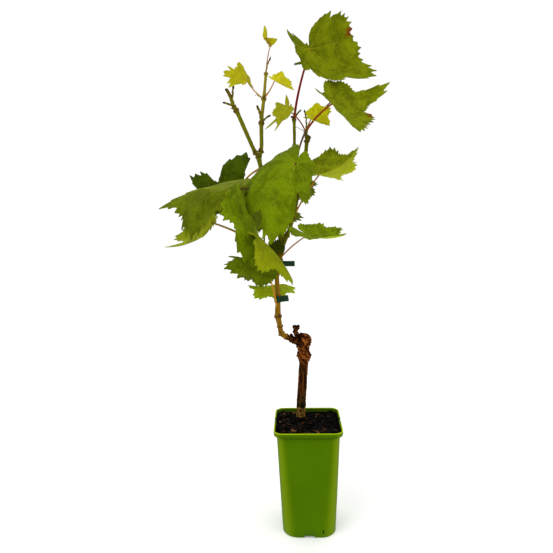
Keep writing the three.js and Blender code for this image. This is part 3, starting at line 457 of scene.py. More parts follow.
def layers(points, rows):
    """The sum of bumpy fields, each times its height, from rows of height, size, seed and stretch."""
    return sum(height * lumps(points, *row) for height, *row in rows)


def bell(away, width):
    """1 at 0, falling to 1/e at the width on either side: exp(-(away / width)^2)."""
    return np.exp(-((away / width) ** 2))


def curve_through(nodes, places):
    """Points of a centripetal Catmull-Rom curve through nodes, at places counted in internodes: each
    stretch is the cubic whose end slopes come from the square roots of the neighbouring spans."""
    ends = [2 * nodes[0] - nodes[1], *nodes, 2 * nodes[-1] - nodes[-2]]
    knots = np.array(ends)
    span = np.sqrt(np.linalg.norm(np.diff(knots, axis=0), axis=1))[:, None]
    start = np.clip(np.floor(places).astype(int), 0, len(nodes) - 2)
    t = (places - start)[:, None]
    before, here, there, after = (knots[start + shift] for shift in range(4))
    first, middle, last = (span[start + shift] for shift in range(3))
    leave = (here - before) / first - (there - before) / (first + middle) + (there - here) / middle
    arrive = (there - here) / middle - (after - here) / (middle + last) + (after - there) / last
    leave, arrive = leave * middle, arrive * middle
    square = -3 * here + 3 * there - 2 * leave - arrive
    cube = 2 * here - 2 * there + leave + arrive
    return here + leave * t + square * t**2 + cube * t**3


def tube(path, radius, sides, lean_on=(1, 0.13, 0.07)):
    """Rings of a limb: a circle of the radius at each point of a path, square to its direction and
    turned toward one fixed vector. The radius may differ along the path."""
    along = unit(np.gradient(path, axis=0))
    across = unit(np.array(lean_on) - (along @ np.array(lean_on))[:, None] * along)
    over = np.cross(along, across)
    angle = np.linspace(0, 2 * np.pi, sides, endpoint=False)
    ring = across[:, None] * np.cos(angle)[:, None] + over[:, None] * np.sin(angle)[:, None]
    return path[:, None] + np.reshape(radius, (-1, 1, 1)) * ring


def mesh_piece(name, points, faces, masks=None, maps=None):
    """A smooth mesh object from points in millimetres and arrays of faces with as many corners each,
    with float attributes and UV maps that hold one value for each point."""
    corners = np.concatenate([part.ravel() for part in faces])
    totals = np.concatenate([np.full(len(part), part.shape[1]) for part in faces])
    mesh = bpy.data.meshes.new(name)
    mesh.vertices.add(len(points))
    mesh.vertices.foreach_set("co", (points * MM).astype(np.float32).ravel())
    mesh.loops.add(len(corners))
    mesh.loops.foreach_set("vertex_index", corners.astype(np.int32))
    mesh.polygons.add(len(totals))
    mesh.polygons.foreach_set("loop_start", (np.cumsum(totals) - totals).astype(np.int32))
    mesh.polygons.foreach_set("use_smooth", np.ones(len(totals), bool))
    for key, values in (masks or {}).items():
        mesh.attributes.new(key, "FLOAT", "POINT").data.foreach_set("value", values.ravel())
    for key, values in (maps or {}).items():
        mesh.uv_layers.new(name=key).uv.foreach_set("vector", values[corners].ravel())
    mesh.update(calc_edges=True)
    mesh.validate()
    piece = bpy.data.objects.new(name, mesh)
    bpy.context.collection.objects.link(piece)
    return piece


def closed_skin(grid):
    """Points and faces of a skin over a grid of rings that wrap round: quads between neighbouring
    rings, and a fan from the middle of the first and of the last ring. It faces out where the rings
    run counter-clockwise seen from the last one's side."""
    rows, columns = grid.shape[:2]
    points = np.concatenate([grid.reshape(-1, 3), grid[[0, -1]].mean(axis=1)])
    here = np.arange(rows * columns).reshape(rows, columns)
    beside = np.roll(here, -1, axis=1)
    quads = np.stack([here[:-1], beside[:-1], beside[1:], here[1:]], axis=-1).reshape(-1, 4)
    low, high = (np.full(columns, rows * columns + end) for end in (0, 1))
    fans = np.concatenate([np.stack([low, beside[0], here[0]], axis=-1),
                           np.stack([high, here[-1], beside[-1]], axis=-1)])
    return points, [quads, fans]


def even_part(grid, **levels):
    """A closed skin over a grid of rings, with masks that are level all over."""
    points, faces = closed_skin(grid)
    return points, faces, {key: np.full(len(points), float(level)) for key, level in levels.items()}


def square_to(ahead, guide=(0.3, 0.8, 0.52)):
    """A unit vector square to a heading and to a fixed guide."""
    return unit(np.cross(ahead, guide))


def bowed_path(foot, share, lean, bearing, length, bow):
    """Points at shares of a straight line, each raised by a half sine of a share of its length."""
    path = foot + share[:, None] * length * heading(lean, bearing)
    return path + np.sin(np.pi * share)[:, None] * heading(lean - 90, bearing) * length * bow


def with_poles(values):
    """The values of a grid's points, followed by those of its two poles."""
    return np.concatenate([values.reshape(-1, *values.shape[2:]), values[[0, -1]].mean(axis=1)])


def joined(parts):
    """One set of points and faces from several, with each mask joined too."""
    start = np.cumsum([0] + [len(points) for points, _, _ in parts])
    points = np.concatenate([points for points, _, _ in parts])
    faces = [part + start[i] for i, (_, group, _) in enumerate(parts) for part in group]
    masks = {key: np.concatenate([mask[key] for _, _, mask in parts]) for key in parts[0][2]}
    return points, faces, masks


def dress(piece, material, slot, *nodes):
    """Gives a piece its material, rides it on the root and lets it stand for its nodes. The slot is not used.
    """
    piece.data.materials.append(material)
    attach(piece, "root")
    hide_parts(*nodes)
    return piece


# ---- Materials ----


class Shade:
    """A socket of a material: the usual operators on it add their Math nodes."""

    def __init__(self, finish, socket):
        self.finish = finish
        self.socket = socket

    def __add__(self, other):
        return self.finish.maths("ADD", self, other)

    def __sub__(self, other):
        return self.finish.maths("SUBTRACT", self, other)

    def __rsub__(self, other):
        return self.finish.maths("SUBTRACT", other, self)

    def __mul__(self, other):
        return self.finish.maths("MULTIPLY", self, other)

    def __truediv__(self, other):
        return self.finish.maths("DIVIDE", self, other)

    def __abs__(self):
        return self.finish.maths("ABSOLUTE", self, 0.0)

    __radd__ = __add__
    __rmul__ = __mul__


class Finish:
    """A material under construction."""

    def __init__(self, name, roughness, gloss=0.5, sheen=(1, 1, 1)):
        self.material = bpy.data.materials.new(name)
        self.material.use_nodes = True
        self.tree = self.material.node_tree
        self.shader = self.tree.nodes["Principled BSDF"]
        self.shader.inputs["Roughness"].default_value = roughness
        self.shader.inputs["Specular IOR Level"].default_value = gloss
        self.shader.inputs["Specular Tint"].default_value = (*sheen, 1)

    def feed(self, socket, value):
        """Links a shade to a socket, or sets the socket's value."""
        if isinstance(value, Shade):
            self.tree.links.new(value.socket, socket)
        elif socket.type == "RGBA":
            socket.default_value = (*value, 1)
        else:
            socket.default_value = value

    def node(self, kind, settings=None, sockets=None, output=0):
        """A node of a kind with its settings, then the values or links of its sockets."""
        made = self.tree.nodes.new(kind)
        for key, value in (settings or {}).items():
            setattr(made, key, value)
        for key, value in (sockets or {}).items():
            self.feed(made.inputs[key], value)
        return Shade(self, made.outputs[output])

    def maths(self, operation, first, second):
        """A Math node on two values."""
        return self.node("ShaderNodeMath", {"operation": operation}, {0: first, 1: second})

    def place(self, stretch=(1, 1, 1)):
        """The point's place in the object, with each axis squeezed by its factor."""
        here = self.node("ShaderNodeTexCoord", output="Object")
        return self.node("ShaderNodeMapping", None, {"Vector": here, "Scale": stretch})

    def height(self):
        """The point's height over the floor."""
        return self.node("ShaderNodeSeparateXYZ", None, {0: self.place()}, "Z")

    def mask(self, name):
        """The value of one of the mesh's masks."""
        return self.node("ShaderNodeAttribute", {"attribute_name": name}, None, "Fac")

    def noise(self, size, where=None, detail=3.0):
        """Cloudy noise about 0.5, with clouds of a size in metres."""
        vector = where or self.place()
        return self.node("ShaderNodeTexNoise", None, {"Vector": vector, "Scale": 1 / size, "Detail": detail})

    def cells(self, size, where=None, feature="F1"):
        """Cells of a size in metres: the distance to a cell's middle, or to its edge."""
        vector = where or self.place()
        return self.node("ShaderNodeTexVoronoi", {"feature": feature}, {"Vector": vector, "Scale": 1 / size})

    def step(self, value, low, high):
        """0 under low and 1 over high, smooth between."""
        sockets = {"Value": value, "From Min": low, "From Max": high}
        return self.node("ShaderNodeMapRange", {"interpolation_type": "SMOOTHSTEP"}, sockets)

    def mix(self, share, first, second):
        """A colour between two."""
        return self.node("ShaderNodeMix", {"data_type": "RGBA"}, {0: share, 6: first, 7: second}, 2)

    def fade(self, value, low, high, first, second, most=1):
        """A colour that goes from the first to the second, or most of the way, as a value passes from
        low to high."""
        share = self.step(value, low, high)
        return self.mix(share if most == 1 else share * most, first, second)

    def done(self, colour, relief=None, distance=0.0, roughness=None):
        """Feeds the shader and returns the material."""
        self.feed(self.shader.inputs["Base Color"], colour)
        if roughness is not None:
            self.feed(self.shader.inputs["Roughness"], roughness)
        if relief is not None:
            bump = self.node("ShaderNodeBump", None, {"Height": relief, "Distance": distance})
            self.feed(self.shader.inputs["Normal"], bump)
        return self.material


def scaled(colour, factor):
    """A colour times a factor, with no channel over 1."""
    return tuple(min(channel * factor, 1) for channel in colour)


def plastic_finish(settings):
    """Satin moulded plastic with faint scuffs and specks, paler along its rim top and on its corners as
    painted highlight, and darker on its inner wall, its lip's foot and under its lip as painted shade.
    """
    look = Finish("pot_plastic", 0.45, 0.03, (0.7, 1, 0.1))
    plastic = settings.plastic
    body = look.fade(look.noise(0.05), 0.3, 0.75, scaled(plastic, 0.95), scaled(plastic, 1.05))
    body = look.fade(look.height(), 0.04, 0.0, body, scaled(plastic, 1.2), 0.3)
    # Painted highlight on the rounded corners.
    body = look.mix(look.mask("corner") * 0.55, body, settings.corner_light)
    # Painted shade: darker on the inner wall, on the lip's foot and under the lip.
    body = look.mix(look.mask("painted_shade") * 0.85, body, scaled(plastic, 0.4))
    # Painted highlight: paler along the rim's top.
    body = look.mix(look.mask("rim"), body, settings.edge)
    specks = look.step(look.noise(0.0016, detail=1.0), 0.74, 0.8) * look.step(look.noise(0.02), 0.5, 0.6)
    body = look.mix(specks * 0.5, body, scaled(plastic, 0.25))
    scuffs = look.noise(0.004, look.place((1, 1, 0.15)))
    return look.done(body, scuffs, 0.05 * MM, 0.4 + scuffs * 0.15)


def soil_finish(settings):
    """Near-black moist compost: crumbs in brown and black."""
    look = Finish("compost", 0.95, 0.02)
    crumbs = look.noise(0.0035, detail=6.0)
    fibre = look.cells(0.0022)
    colour = look.fade(crumbs, 0.4, 0.7, settings.compost, scaled(settings.compost, 2.2))
    colour = look.fade(look.noise(0.006), 0.62, 0.75, colour, PEAT, 0.4)
    return look.done(colour, crumbs + fibre * 0.4, 1.6 * MM)


def chip_finish(name, colour):
    """A splinter of bark with its grain."""
    look = Finish(name, 0.85, 0.05)
    grain = look.noise(0.0012, look.place((1, 1, 3)))
    return look.done(look.mix(grain, scaled(colour, 0.55), scaled(colour, 1.35)), grain, 0.4 * MM)


def bark_finish(name, settings, graft, shade):
    """Bark in long streaks, red-brown under the graft and near black lower down with olive and tan
    splinters, and knobbly rusty bark over the graft: dark between its knobs and in flecks, partly painted
    shade, and orange on its knobs and flecks, partly the rust's own colour and partly painted highlight."""
    look = Finish(name, 0.85, 0.03, (1, 0.8, 0.4))
    streaks = look.noise(0.0026, look.place((1, 1, 0.09)), 5.0)
    splinters = look.noise(0.0016, look.place((1, 1, 0.11)), 4.0)
    fine = look.noise(0.0011, look.place((1, 1, 0.4)), 4.0)
    flecks = look.noise(0.0026, detail=4.0)
    height = look.height()
    red = look.fade(streaks, 0.42, 0.62, scaled(settings.old, 0.2), scaled(settings.old, 1.6))
    low = look.fade(streaks, 0.46, 0.62, BARK["black"], BARK["olive"])
    upper_part = look.step(height, graft - 0.07, graft - 0.035)
    old = look.mix(upper_part, low, red)
    old = look.fade(splinters, 0.6, 0.68, old, BARK["splinter"], 0.75 - upper_part * 0.5)
    # lit follows the knobs' height and random flecks: darker where it is low, partly painted shade between
    # the knobs, and orange where it is high, partly painted highlight.
    lit = look.mask("raised") * 0.5 + flecks * 1.5
    rust = look.fade(lit, 0.82, 1.08, scaled(BARK["hollow shade"], shade), scaled(settings.rust, shade))
    rust = look.fade(lit, 1.14, 1.26, rust, scaled(BARK["orange"], shade), 0.85)
    rust = look.fade(fine, 0.36, 0.26, rust, BARK["crack"], 0.8)
    colour = look.fade(height, graft - 0.012, graft, old, rust)
    healed = look.mask("knot")
    patch = look.fade(streaks, 0.4, 0.6, BARK["scar"], BARK["pale scar"])
    cracks = look.cells(0.005, look.place((1, 1, 0.5)), "DISTANCE_TO_EDGE")
    patch = look.fade(cracks, 0.1, 0.03, patch, BARK["scar crack"], 0.8)
    colour = look.fade(healed, 0.08, 0.3, colour, BARK["scar rim"])
    colour = look.fade(healed, 0.35, 0.6, colour, patch)
    # Painted shade: the pit is painted near black.
    colour = look.fade(look.mask("pit"), 0.2, 0.6, colour, BARK["pit"])
    return look.done(colour, streaks * 0.8 + fine * 0.5 + flecks * 0.5, 1.1 * MM)


def shoot_finish(name, base, node_colour, young, settings):
    """A ribbed shoot, darker and redder round its nodes and yellower over the level of its young part."""
    look = Finish(name, 0.6, 0.06, (1, 1, 0.3))
    ribs = look.noise(0.0011, look.place((1, 1, 0.05)), 3.0)
    colour = look.fade(ribs, 0.35, 0.7, scaled(base, 0.72), scaled(base, 1.25))
    colour = look.fade(look.noise(0.012), 0.45, 0.75, colour, scaled(settings.ripe, 0.8), 0.35)
    colour = look.fade(look.height(), young, young + 0.03, colour, YOUNG_SHOOT, 0.75)
    colour = look.mix(look.mask("node") * look.step(look.noise(0.004), 0.25, 0.65), colour, node_colour)
    colour = look.mix(look.mask("cut"), colour, CUT_WOOD)
    return look.done(colour, ribs, 0.35 * MM)


def tape_finish(settings):
    """Dark green plastic tape with a fine weave of ribs."""
    look = Finish("tie_tape", 0.5, 0.15)
    ribs = look.noise(0.0016, look.place((1, 1, 0.4)))
    colour = look.mix(ribs, scaled(settings.tape, 0.6), scaled(settings.tape, 1.5))
    return look.done(colour, ribs, 0.2 * MM)


def blade_finish(name, tint, light, size, variety, settings):
    """A leaf of a size: its veins pale and sunk, a net of fine veins between them, cloudy mottling, a
    paler underside, and a dry rim where the mask says so. It reads the maps blade and vein."""
    # light scales every colour of the leaf: painted light and shade on the whole leaf.
    upper, lower, pale, glow = (scaled(colour, light) for colour in tint)
    look = Finish(name, 0.5, 0.008, (0.6, 1, 0.05))
    vein = look.node("ShaderNodeUVMap", {"uv_map": "vein"})
    along, off = (look.node("ShaderNodeSeparateXYZ", None, {0: vein}, axis) / size for axis in "XY")
    main = look.step(off + 0.006 * along, 0.012, 0.004)
    rank = (along - off) / settings.vein_spacing
    side = look.step(abs(look.maths("FRACT", rank, 0) - 0.5), 0.455, 0.492) * look.step(off, 0, 0.03)
    blade = look.node("ShaderNodeUVMap", {"uv_map": "blade"})
    net = look.step(look.cells(0.035 * size, blade, "DISTANCE_TO_EDGE"), 0.09, 0.0)
    mottle = look.noise(0.24 * size, blade, 5.0)
    grain = look.noise(0.05 * size, blade, 5.0)
    darker, lighter = scaled(upper, 1 - 0.28 * variety), scaled(upper, 1 + 0.22 * variety)
    colour = look.fade(mottle, 0.36, 0.64, darker, lighter)
    colour = look.fade(grain, 0.5, 0.72, colour, scaled(pale, 0.85), 0.5 * variety)
    colour = look.fade(grain, 0.46, 0.3, colour, scaled(upper, 0.5), 0.4 * variety)
    # Painted light: the glowing half is painted in the glow colour.
    colour = look.mix(look.mask("tone"), colour, look.fade(mottle, 0.36, 0.64, scaled(glow, 0.85), glow))
    colour = look.mix(net * 0.1 + side * 0.25 + main * 0.5, colour, pale)
    back = look.fade(mottle, 0.34, 0.66, scaled(lower, 0.8), scaled(lower, 1.15))
    back = look.fade(grain, 0.46, 0.3, back, scaled(lower, 0.6), 0.3)
    back = look.mix(net * 0.12 + side * 0.3 + main * 0.6, back, scaled(lower, 1.5))
    colour = look.mix(look.mask("under"), colour, back)
    colour = look.mix(look.mask("dry"), colour, settings.dry)
    relief = 1 - main * 0.35 - side * 0.3 - net * 0.3 + grain * 0.35
    return look.done(colour, relief, 0.011 * size, 0.44 + grain * 0.16)


def stalk_finish(name, colour, settings):
    """A leaf stalk, greener toward its foot and finely ribbed."""
    look = Finish(name, 0.5, 0.08, (1, 0.8, 0.4))
    ribs = look.noise(0.0012, look.place((1, 1, 0.1)))
    skin = look.fade(look.mask("along"), 0.25, 0.0, colour, settings.green, 0.4)
    skin = look.fade(ribs, 0.4, 0.7, skin, scaled(colour, 0.65), 0.4)
    return look.done(skin, ribs, 0.2 * MM)


# ---- Pot ----


CORNER_STEPS, SIDE_STEPS = 10, 8
# Rows of the pot's section: how far each stands out, how far up, and its masks of the painted highlight
# on the rim and of the painted shade on the inner wall and round the lip.
UNDER_LIP = ((1.6, 0.6), (1, 0.8))  # down from the lip's foot, and the painted shade under the lip
LIP_FOOT = ((-1.6, 0.1, 0.8), (-0.8, 0.5, 0.6), (-0.4, 1.4, 0.4))  # out, up, and the painted shade on the lip's foot
LIP_EDGE = ((-0.1, -1.5, 0, 0.2), (-0.15, -0.7, 0.3, 0), (-0.45, -0.15, 1, 0))
LIP_INSIDE = ((0.3, -0.1, 1, 0), (0, -0.6, 0.5, 0.3), (-0.1, -2, 0, 1))
CUT_DEPTH = {"foot": 16, "rim": 8, "slit": 10}  # of the boxes that cut the notches and the slits


def square_ring(half, radius, level, corner_steps=CORNER_STEPS, side_steps=SIDE_STEPS):
    """A level ring round a square of a half width: quarter circles of the radius at its corners and
    straight sides between them, counter-clockwise."""
    quarter = np.linspace(0, np.pi / 2, corner_steps)
    corner = np.stack([np.cos(quarter), np.sin(quarter)], axis=-1) * radius + (half - radius)
    side = np.linspace(1, -1, side_steps + 2)[1:-1, None] * (half - radius)
    side = np.concatenate([side, np.full_like(side, half)], axis=-1)
    plan = np.concatenate([corner, side])
    turned = [plan @ np.array([[c, s], [-s, c]]) for c, s in ((1, 0), (0, 1), (-1, 0), (0, -1))]
    plan = np.concatenate(turned)
    return np.concatenate([plan, np.full((len(plan), 1), level)], axis=-1)


def body_half(level, step):
    """Half the body's width at a level: a straight taper from the foot up to the neck."""
    return (FOOT_WIDTH + (BODY_WIDTH - FOOT_WIDTH) * level / step) / 2


def corner_at(level, step):
    """The body's corner radius: a straight taper from the foot's to the neck's."""
    return CORNER_RADIUS + (FOOT_RADIUS - CORNER_RADIUS) * max(1 - level / step, 0)


def pot_rows(settings):
    """The pot's section as rows (half width, level, corner radius, rim mask, painted shade mask), from its
    underside up the outside, over the rim and down the inner wall, in millimetres. The rim mask holds
    the painted highlight along the rim's top, and the painted shade mask the painted shade on the inner
    wall and round the lip."""
    height, half, wall = settings.height / MM, settings.rim / MM / 2, settings.wall / MM
    step = height - LIP_HEIGHT
    foot, neck, low = body_half(0, step), body_half(step, step), body_half(FOOT_BEVEL, step)
    corner, inner = CORNER_RADIUS, CORNER_RADIUS - wall
    levels = np.linspace(FOOT_BEVEL, step - 2.4, 11)
    return [
        (foot - FOOT_BEVEL, 0, FOOT_RADIUS - FOOT_BEVEL, 0, 0),
        (foot - FOOT_BEVEL * 0.3, 0.4, FOOT_RADIUS, 0, 0),
        *((body_half(level, step), level, corner_at(level, step), 0, 0) for level in levels),
        *((body_half(step - down, step), step - down, corner, 0, dark) for down, dark in UNDER_LIP),
        (neck - 0.3, step - 0.4, corner, 0, 1), (neck, step, corner, 0, 1),
        *((half + out, step + up, corner, 0, dark) for out, up, dark in LIP_FOOT),
        *((half + out, height + up, corner, rim, dark) for out, up, rim, dark in LIP_EDGE),
        (half - wall / 2, height, corner - wall / 2, 1, 0),
        *((half - wall + out, height + up, inner, rim, dark) for out, up, rim, dark in LIP_INSIDE),
        (half - wall - LEDGE, step + 1, inner, 0, 1), (neck - wall, step - 0.4, inner, 0, 1),
        (low - wall, FOOT_BEVEL + wall, FOOT_RADIUS - wall, 0, 1),
        (foot - wall - FOOT_BEVEL, wall, FOOT_RADIUS - wall, 0, 1),
    ]


def box_cutter(width, depth, height, middle):
    """Points and faces of a box about a middle, in millimetres."""
    corners = np.array([(x, y, z) for x in (-0.5, 0.5) for y in (-0.5, 0.5) for z in (-0.5, 0.5)])
    quads = np.array([(0, 1, 3, 2), (4, 6, 7, 5), (0, 4, 5, 1), (2, 3, 7, 6), (0, 2, 6, 4), (1, 5, 7, 3)])
    return corners * (width, depth, height) + middle, [quads], {}


def carve(piece, cutters):
    """Cuts the cutters out of a piece with a Boolean modifier, and applies it."""
    points, faces, _ = joined(cutters)
    cutter = mesh_piece(f"{piece.name}_cutter", points, faces)
    cut = piece.modifiers.new("cut", "BOOLEAN")
    cut.operation, cut.solver, cut.object = "DIFFERENCE", "EXACT", cutter
    view = bpy.context.evaluated_depsgraph_get()
    piece.data = bpy.data.meshes.new_from_object(piece.evaluated_get(view))
    piece.modifiers.clear()
    bpy.data.objects.remove(cutter)


class GRAPEVINE_OT_pot(bpy.types.Operator):
    """Builds the pot with its lip, foot, notches, slits and drain holes."""

    bl_idname = "grapevine.pot"
    bl_label = "Pot"

    def execute(self, context):
        settings = context.scene.grapevine_pot
        rows = pot_rows(settings)
        grid = np.stack([square_ring(half, radius, level) for half, level, radius, _, _ in rows])
        # The thin walls bow out a little between the corners.
        middle = 1 - np.minimum(np.abs(grid[..., 0]), np.abs(grid[..., 1])) / (FOOT_WIDTH / 2)
        height = settings.height / MM
        bow = WALL_BOW * np.clip(middle, 0, 1) * np.sin(np.pi * np.clip(grid[..., 2] / height, 0, 1))
        grid[..., :2] *= (1 + bow / FOOT_WIDTH)[..., None]
        rim, painted_shade = (np.repeat([[row[column]] for row in rows], grid.shape[1], axis=1) for column in (3, 4))
        points, faces = closed_skin(grid)
        # The corner mask, strongest in the middle of each rounded corner, carries the painted highlight.
        turn = np.concatenate([np.linspace(0, np.pi, CORNER_STEPS), np.zeros(SIDE_STEPS)])
        corner = np.tile(np.sin(turn) ** 2, (len(rows), 4))
        masks = {"rim": with_poles(rim), "painted_shade": with_poles(painted_shade), "corner": with_poles(corner)}
        piece = mesh_piece("pot_shell", points, faces, masks)
        cutters = []
        for side in (-1, 1):
            foot, edge = side * FOOT_WIDTH / 2, side * settings.rim / MM / 2
            slit = (-side * SLIT["side"], foot, SLIT["level"] + SLIT["height"] / 2)
            cutters += [box_cutter(NOTCH["width"], CUT_DEPTH["foot"], 2 * NOTCH["height"], (0, foot, 0)),
                        box_cutter(CUT_DEPTH["rim"], NOTCH["width"], 2 * NOTCH["height"], (edge, 0, height)),
                        box_cutter(SLIT["width"], CUT_DEPTH["slit"], SLIT["height"], slit)]
            for across in (-1, 1):
                place = np.array([[side * DRAIN["spread"], across * DRAIN["spread"], z] for z in (-6, 6)])
                cutters.append(even_part(tube(place, DRAIN["radius"], 24, (1, 0, 0))))
        carve(piece, cutters)
        dress(piece, plastic_finish(settings), "pot", "pot")
        return {"FINISHED"}


# ---- Soil ----


def from_trunk(x, y):
    """How far a place on the soil is from the middle of the trunk's foot."""
    return np.hypot(x - TRUNK_FOOT[0], y - TRUNK_FOOT[1])


def soil_height(x, y):
    """How far the soil stands over its mean level: low lumps that fade toward the trunk's foot, a heap
    along the left and right walls, and a mound round the trunk."""
    away = smoothstep(FOOT_FLAT, 2.2 * FOOT_FLAT, from_trunk(x, y))
    waves = np.sin(0.21 * x + 0.9) * np.cos(0.17 * y - 0.4) + 0.5 * np.sin(0.47 * x - 0.33 * y)
    heap = SOIL_HEAP * smoothstep(0.6, 0.95, np.abs(x) / (BODY_WIDTH / 2))
    lumpy = SOIL_RELIEF * away * (waves - 0.5 * x / (POT_HIGH[0] * 2 / MM) - 0.4)
    return lumpy + heap + SOIL_MOUND * (1 - away)


def chip_heap(count, length, level, seed):
    """Chips scattered on the soil: each an irregular six-sided splinter of its own length, turned,
    tilted and sunk a little. Formula: a prism's ring and tip points scaled, turned and moved."""
    rng = np.random.default_rng(seed)
    half = BODY_WIDTH / 2 - CHIP_MARGIN
    spot = rng.uniform(-half, half, (count, 2))
    spot = spot[from_trunk(*spot.T) > FOOT_FLAT + 1]
    count = len(spot)
    angle = np.linspace(0, 2 * np.pi, 6, endpoint=False)
    ring = np.stack([np.zeros(6), np.cos(angle), np.sin(angle)], axis=-1)
    shape = np.stack([ring * girth + middle for girth, middle in SPLINTER])
    size = np.stack([rng.gamma(3, length / 5, count), rng.gamma(4, length / 14, count),
                     rng.gamma(3, length / 30, count)], axis=-1)
    grid = shape[None] * (1 + rng.uniform(-0.2, 0.2, (count, 4, 6, 1))) * size[:, None, None]
    turn, tilt = rng.uniform(0, 2 * np.pi, count), rng.normal(0, 0.25, count)
    ahead = np.stack([np.cos(turn) * np.cos(tilt), np.sin(turn) * np.cos(tilt), np.sin(tilt)], axis=-1)
    beside = np.stack([-np.sin(turn), np.cos(turn), np.zeros(count)], axis=-1)
    axes = np.stack([ahead, beside, np.cross(ahead, beside)], axis=1)
    place = np.concatenate([spot, (level + soil_height(*spot.T) + size[:, 2] * 0.6)[:, None]], axis=-1)
    grid = np.einsum("nrcv,nvw->nrcw", grid, axes) + place[:, None, None]
    points, faces = closed_skin(grid[0])
    offsets = np.arange(count) * len(points)
    ends = grid[:, [0, -1]].mean(axis=2)
    points = np.concatenate([grid.reshape(count, -1, 3), ends], axis=1).reshape(-1, 3)
    return points, [(part[None] + offsets[:, None, None]).reshape(-1, part.shape[1]) for part in faces]


class GRAPEVINE_OT_soil(bpy.types.Operator):
    """Fills the pot with compost and strews bark chips on it."""

    bl_idname = "grapevine.soil"
    bl_label = "Soil"

    def execute(self, context):
        settings = context.scene.grapevine_soil
        pot = context.scene.grapevine_pot
        level, wall = settings.level / MM, pot.wall / MM
        step = pot.height / MM - LIP_HEIGHT
        neck, edge = body_half(step, step) - wall - GAP, pot.rim / MM / 2 - wall - LEDGE - GAP
        shares = np.linspace(1, 0.03, SOIL_RINGS)
        top = np.stack([square_ring(edge * share, (CORNER_RADIUS - wall - GAP) * share, level, *SOIL_STEPS)
                        for share in shares])
        top[..., 2] += soil_height(top[..., 0], top[..., 1])
        away = smoothstep(FOOT_FLAT - 2, FOOT_FLAT + 6, from_trunk(top[..., 0], top[..., 1]))
        inward = smoothstep(1.0, 0.93, shares)[:, None]
        top[..., 2] += layers(top, CRUMBS) * away * inward - 0.5
        over_ledge = (edge * shares > neck - 1)[:, None]
        top[..., 2] = np.where(over_ledge, np.maximum(top[..., 2], step + LEDGE_COVER), top[..., 2])
        floor = square_ring(body_half(0, step) - wall - GAP - 4, FOOT_RADIUS - wall - GAP,
                            wall + GAP, *SOIL_STEPS)
        waist = [square_ring(half, CORNER_RADIUS - wall - GAP, rise, *SOIL_STEPS)
                 for half, rise in ((neck, step - 1), (neck, step - 0.4), (edge, step + 1.4))]
        points, faces = closed_skin(np.concatenate([floor[None], waist, top]))
        piece = mesh_piece("compost", points, faces)
        dress(piece, soil_finish(settings), "soil", "soil")
        for seed, (name, (colour, share)) in enumerate(CHIPS.items(), CHIP_SEED):
            points, faces = chip_heap(int(settings.chips * share), settings.chip / MM * 2, level, seed)
            piece = mesh_piece(name, points, faces)
            dress(piece, chip_finish(name, colour), "soil", "soil")
        return {"FINISHED"}


# ---- Stems ----


def nodes_of(name):
    """The points where a stem's internodes meet, from its foot to its tip."""
    stem = STEMS[name]
    foot = np.array([*TRUNK_FOOT, SOIL_LEVEL - TRUNK_SUNK], float)
    if stem["on"]:
        foot = nodes_of(stem["on"][0])[stem["on"][1]]
    runs = [length * heading(lean, bearing) for length, lean, bearing, _ in stem["internodes"]]
    return foot + np.concatenate([np.zeros((1, 3)), np.cumsum(runs, axis=0)])


def stem_radius(stem, places):
    """The radius at places counted in internodes: straight tapers, with a bell on each node."""
    radii = np.array([stem["radius"], *(run[3] for run in stem["internodes"])], float)
    start = np.minimum(np.floor(places).astype(int), len(radii) - 2)
    share = places - start
    near = bell(np.minimum(share, 1 - share), NODE_REACH)
    taper = radii[start] + (radii[start + 1] - radii[start]) * share
    return taper + stem.get("swelling", 0) * near, near


def knot(points):
    """The healed foot low on the trunk's front: a pale patch that fades upward, and its round pit."""
    away = points - (np.array([*TRUNK_FOOT, SOIL_LEVEL]) + PIT["middle"])
    none, full = SCAR["top"]
    ragged = points[..., 2] + 1.2 * lumps(points, 4, 27)
    scar = smoothstep(SOIL_LEVEL + none, SOIL_LEVEL + full, ragged)
    pit = bell(np.linalg.norm(away * PIT["squash"], axis=-1), PIT["radius"])
    return scar * smoothstep(*SCAR["depth"], away[..., 1]), pit


def along_stem(name, kind):
    """Places along a stem counted in internodes, its path there, and its radii and node bells."""
    stem = STEMS[name]
    count = len(stem["internodes"])
    places = np.linspace(0, count, MESH[kind][1] * count + 1)
    return places, curve_through(nodes_of(name), places), *stem_radius(stem, places)


def bark_part(name, relief):
    """A limb's rings pushed out by bark: long ridges, knobs of a share of its radius, and two swollen
    rings where the graft is bound. Its mask tells how far each point stands out."""
    _, path, radius, _ = along_stem(name, "bark")
    grid = tube(path, radius, MESH["bark"][0])
    out = unit(grid - path[:, None])
    ridges = layers(grid, RIDGES)
    graft = graft_height()
    rough = smoothstep(graft - 6, graft + 1, grid[..., 2])
    lumpy = layers(grid, KNOBS)
    knobs = STEMS[name]["knobs"] * radius[:, None] * lumpy * (0.12 + 1.05 * rough)
    rings = sum(bell(grid[..., 2] - graft - over, width) for over, width in GRAFT_RINGS)
    rings = rings * (0.9 + 0.9 * lumps(grid, 4, 26)) * (name == "trunk")
    healed, pit = knot(grid)
    lift = relief * ridges * 0.8 + knobs + 0.9 * rings - 0.6 * healed - 1.5 * pit
    grid = grid + out * lift[..., None]
    raised = np.clip(0.5 + 0.4 * lumpy + 0.3 * rings + 0.15 * ridges, 0, 1)
    masks = {"knot": healed * 0.85, "pit": pit, "raised": raised}
    return (*closed_skin(grid), {key: np.clip(with_poles(mask), 0, 1) for key, mask in masks.items()})


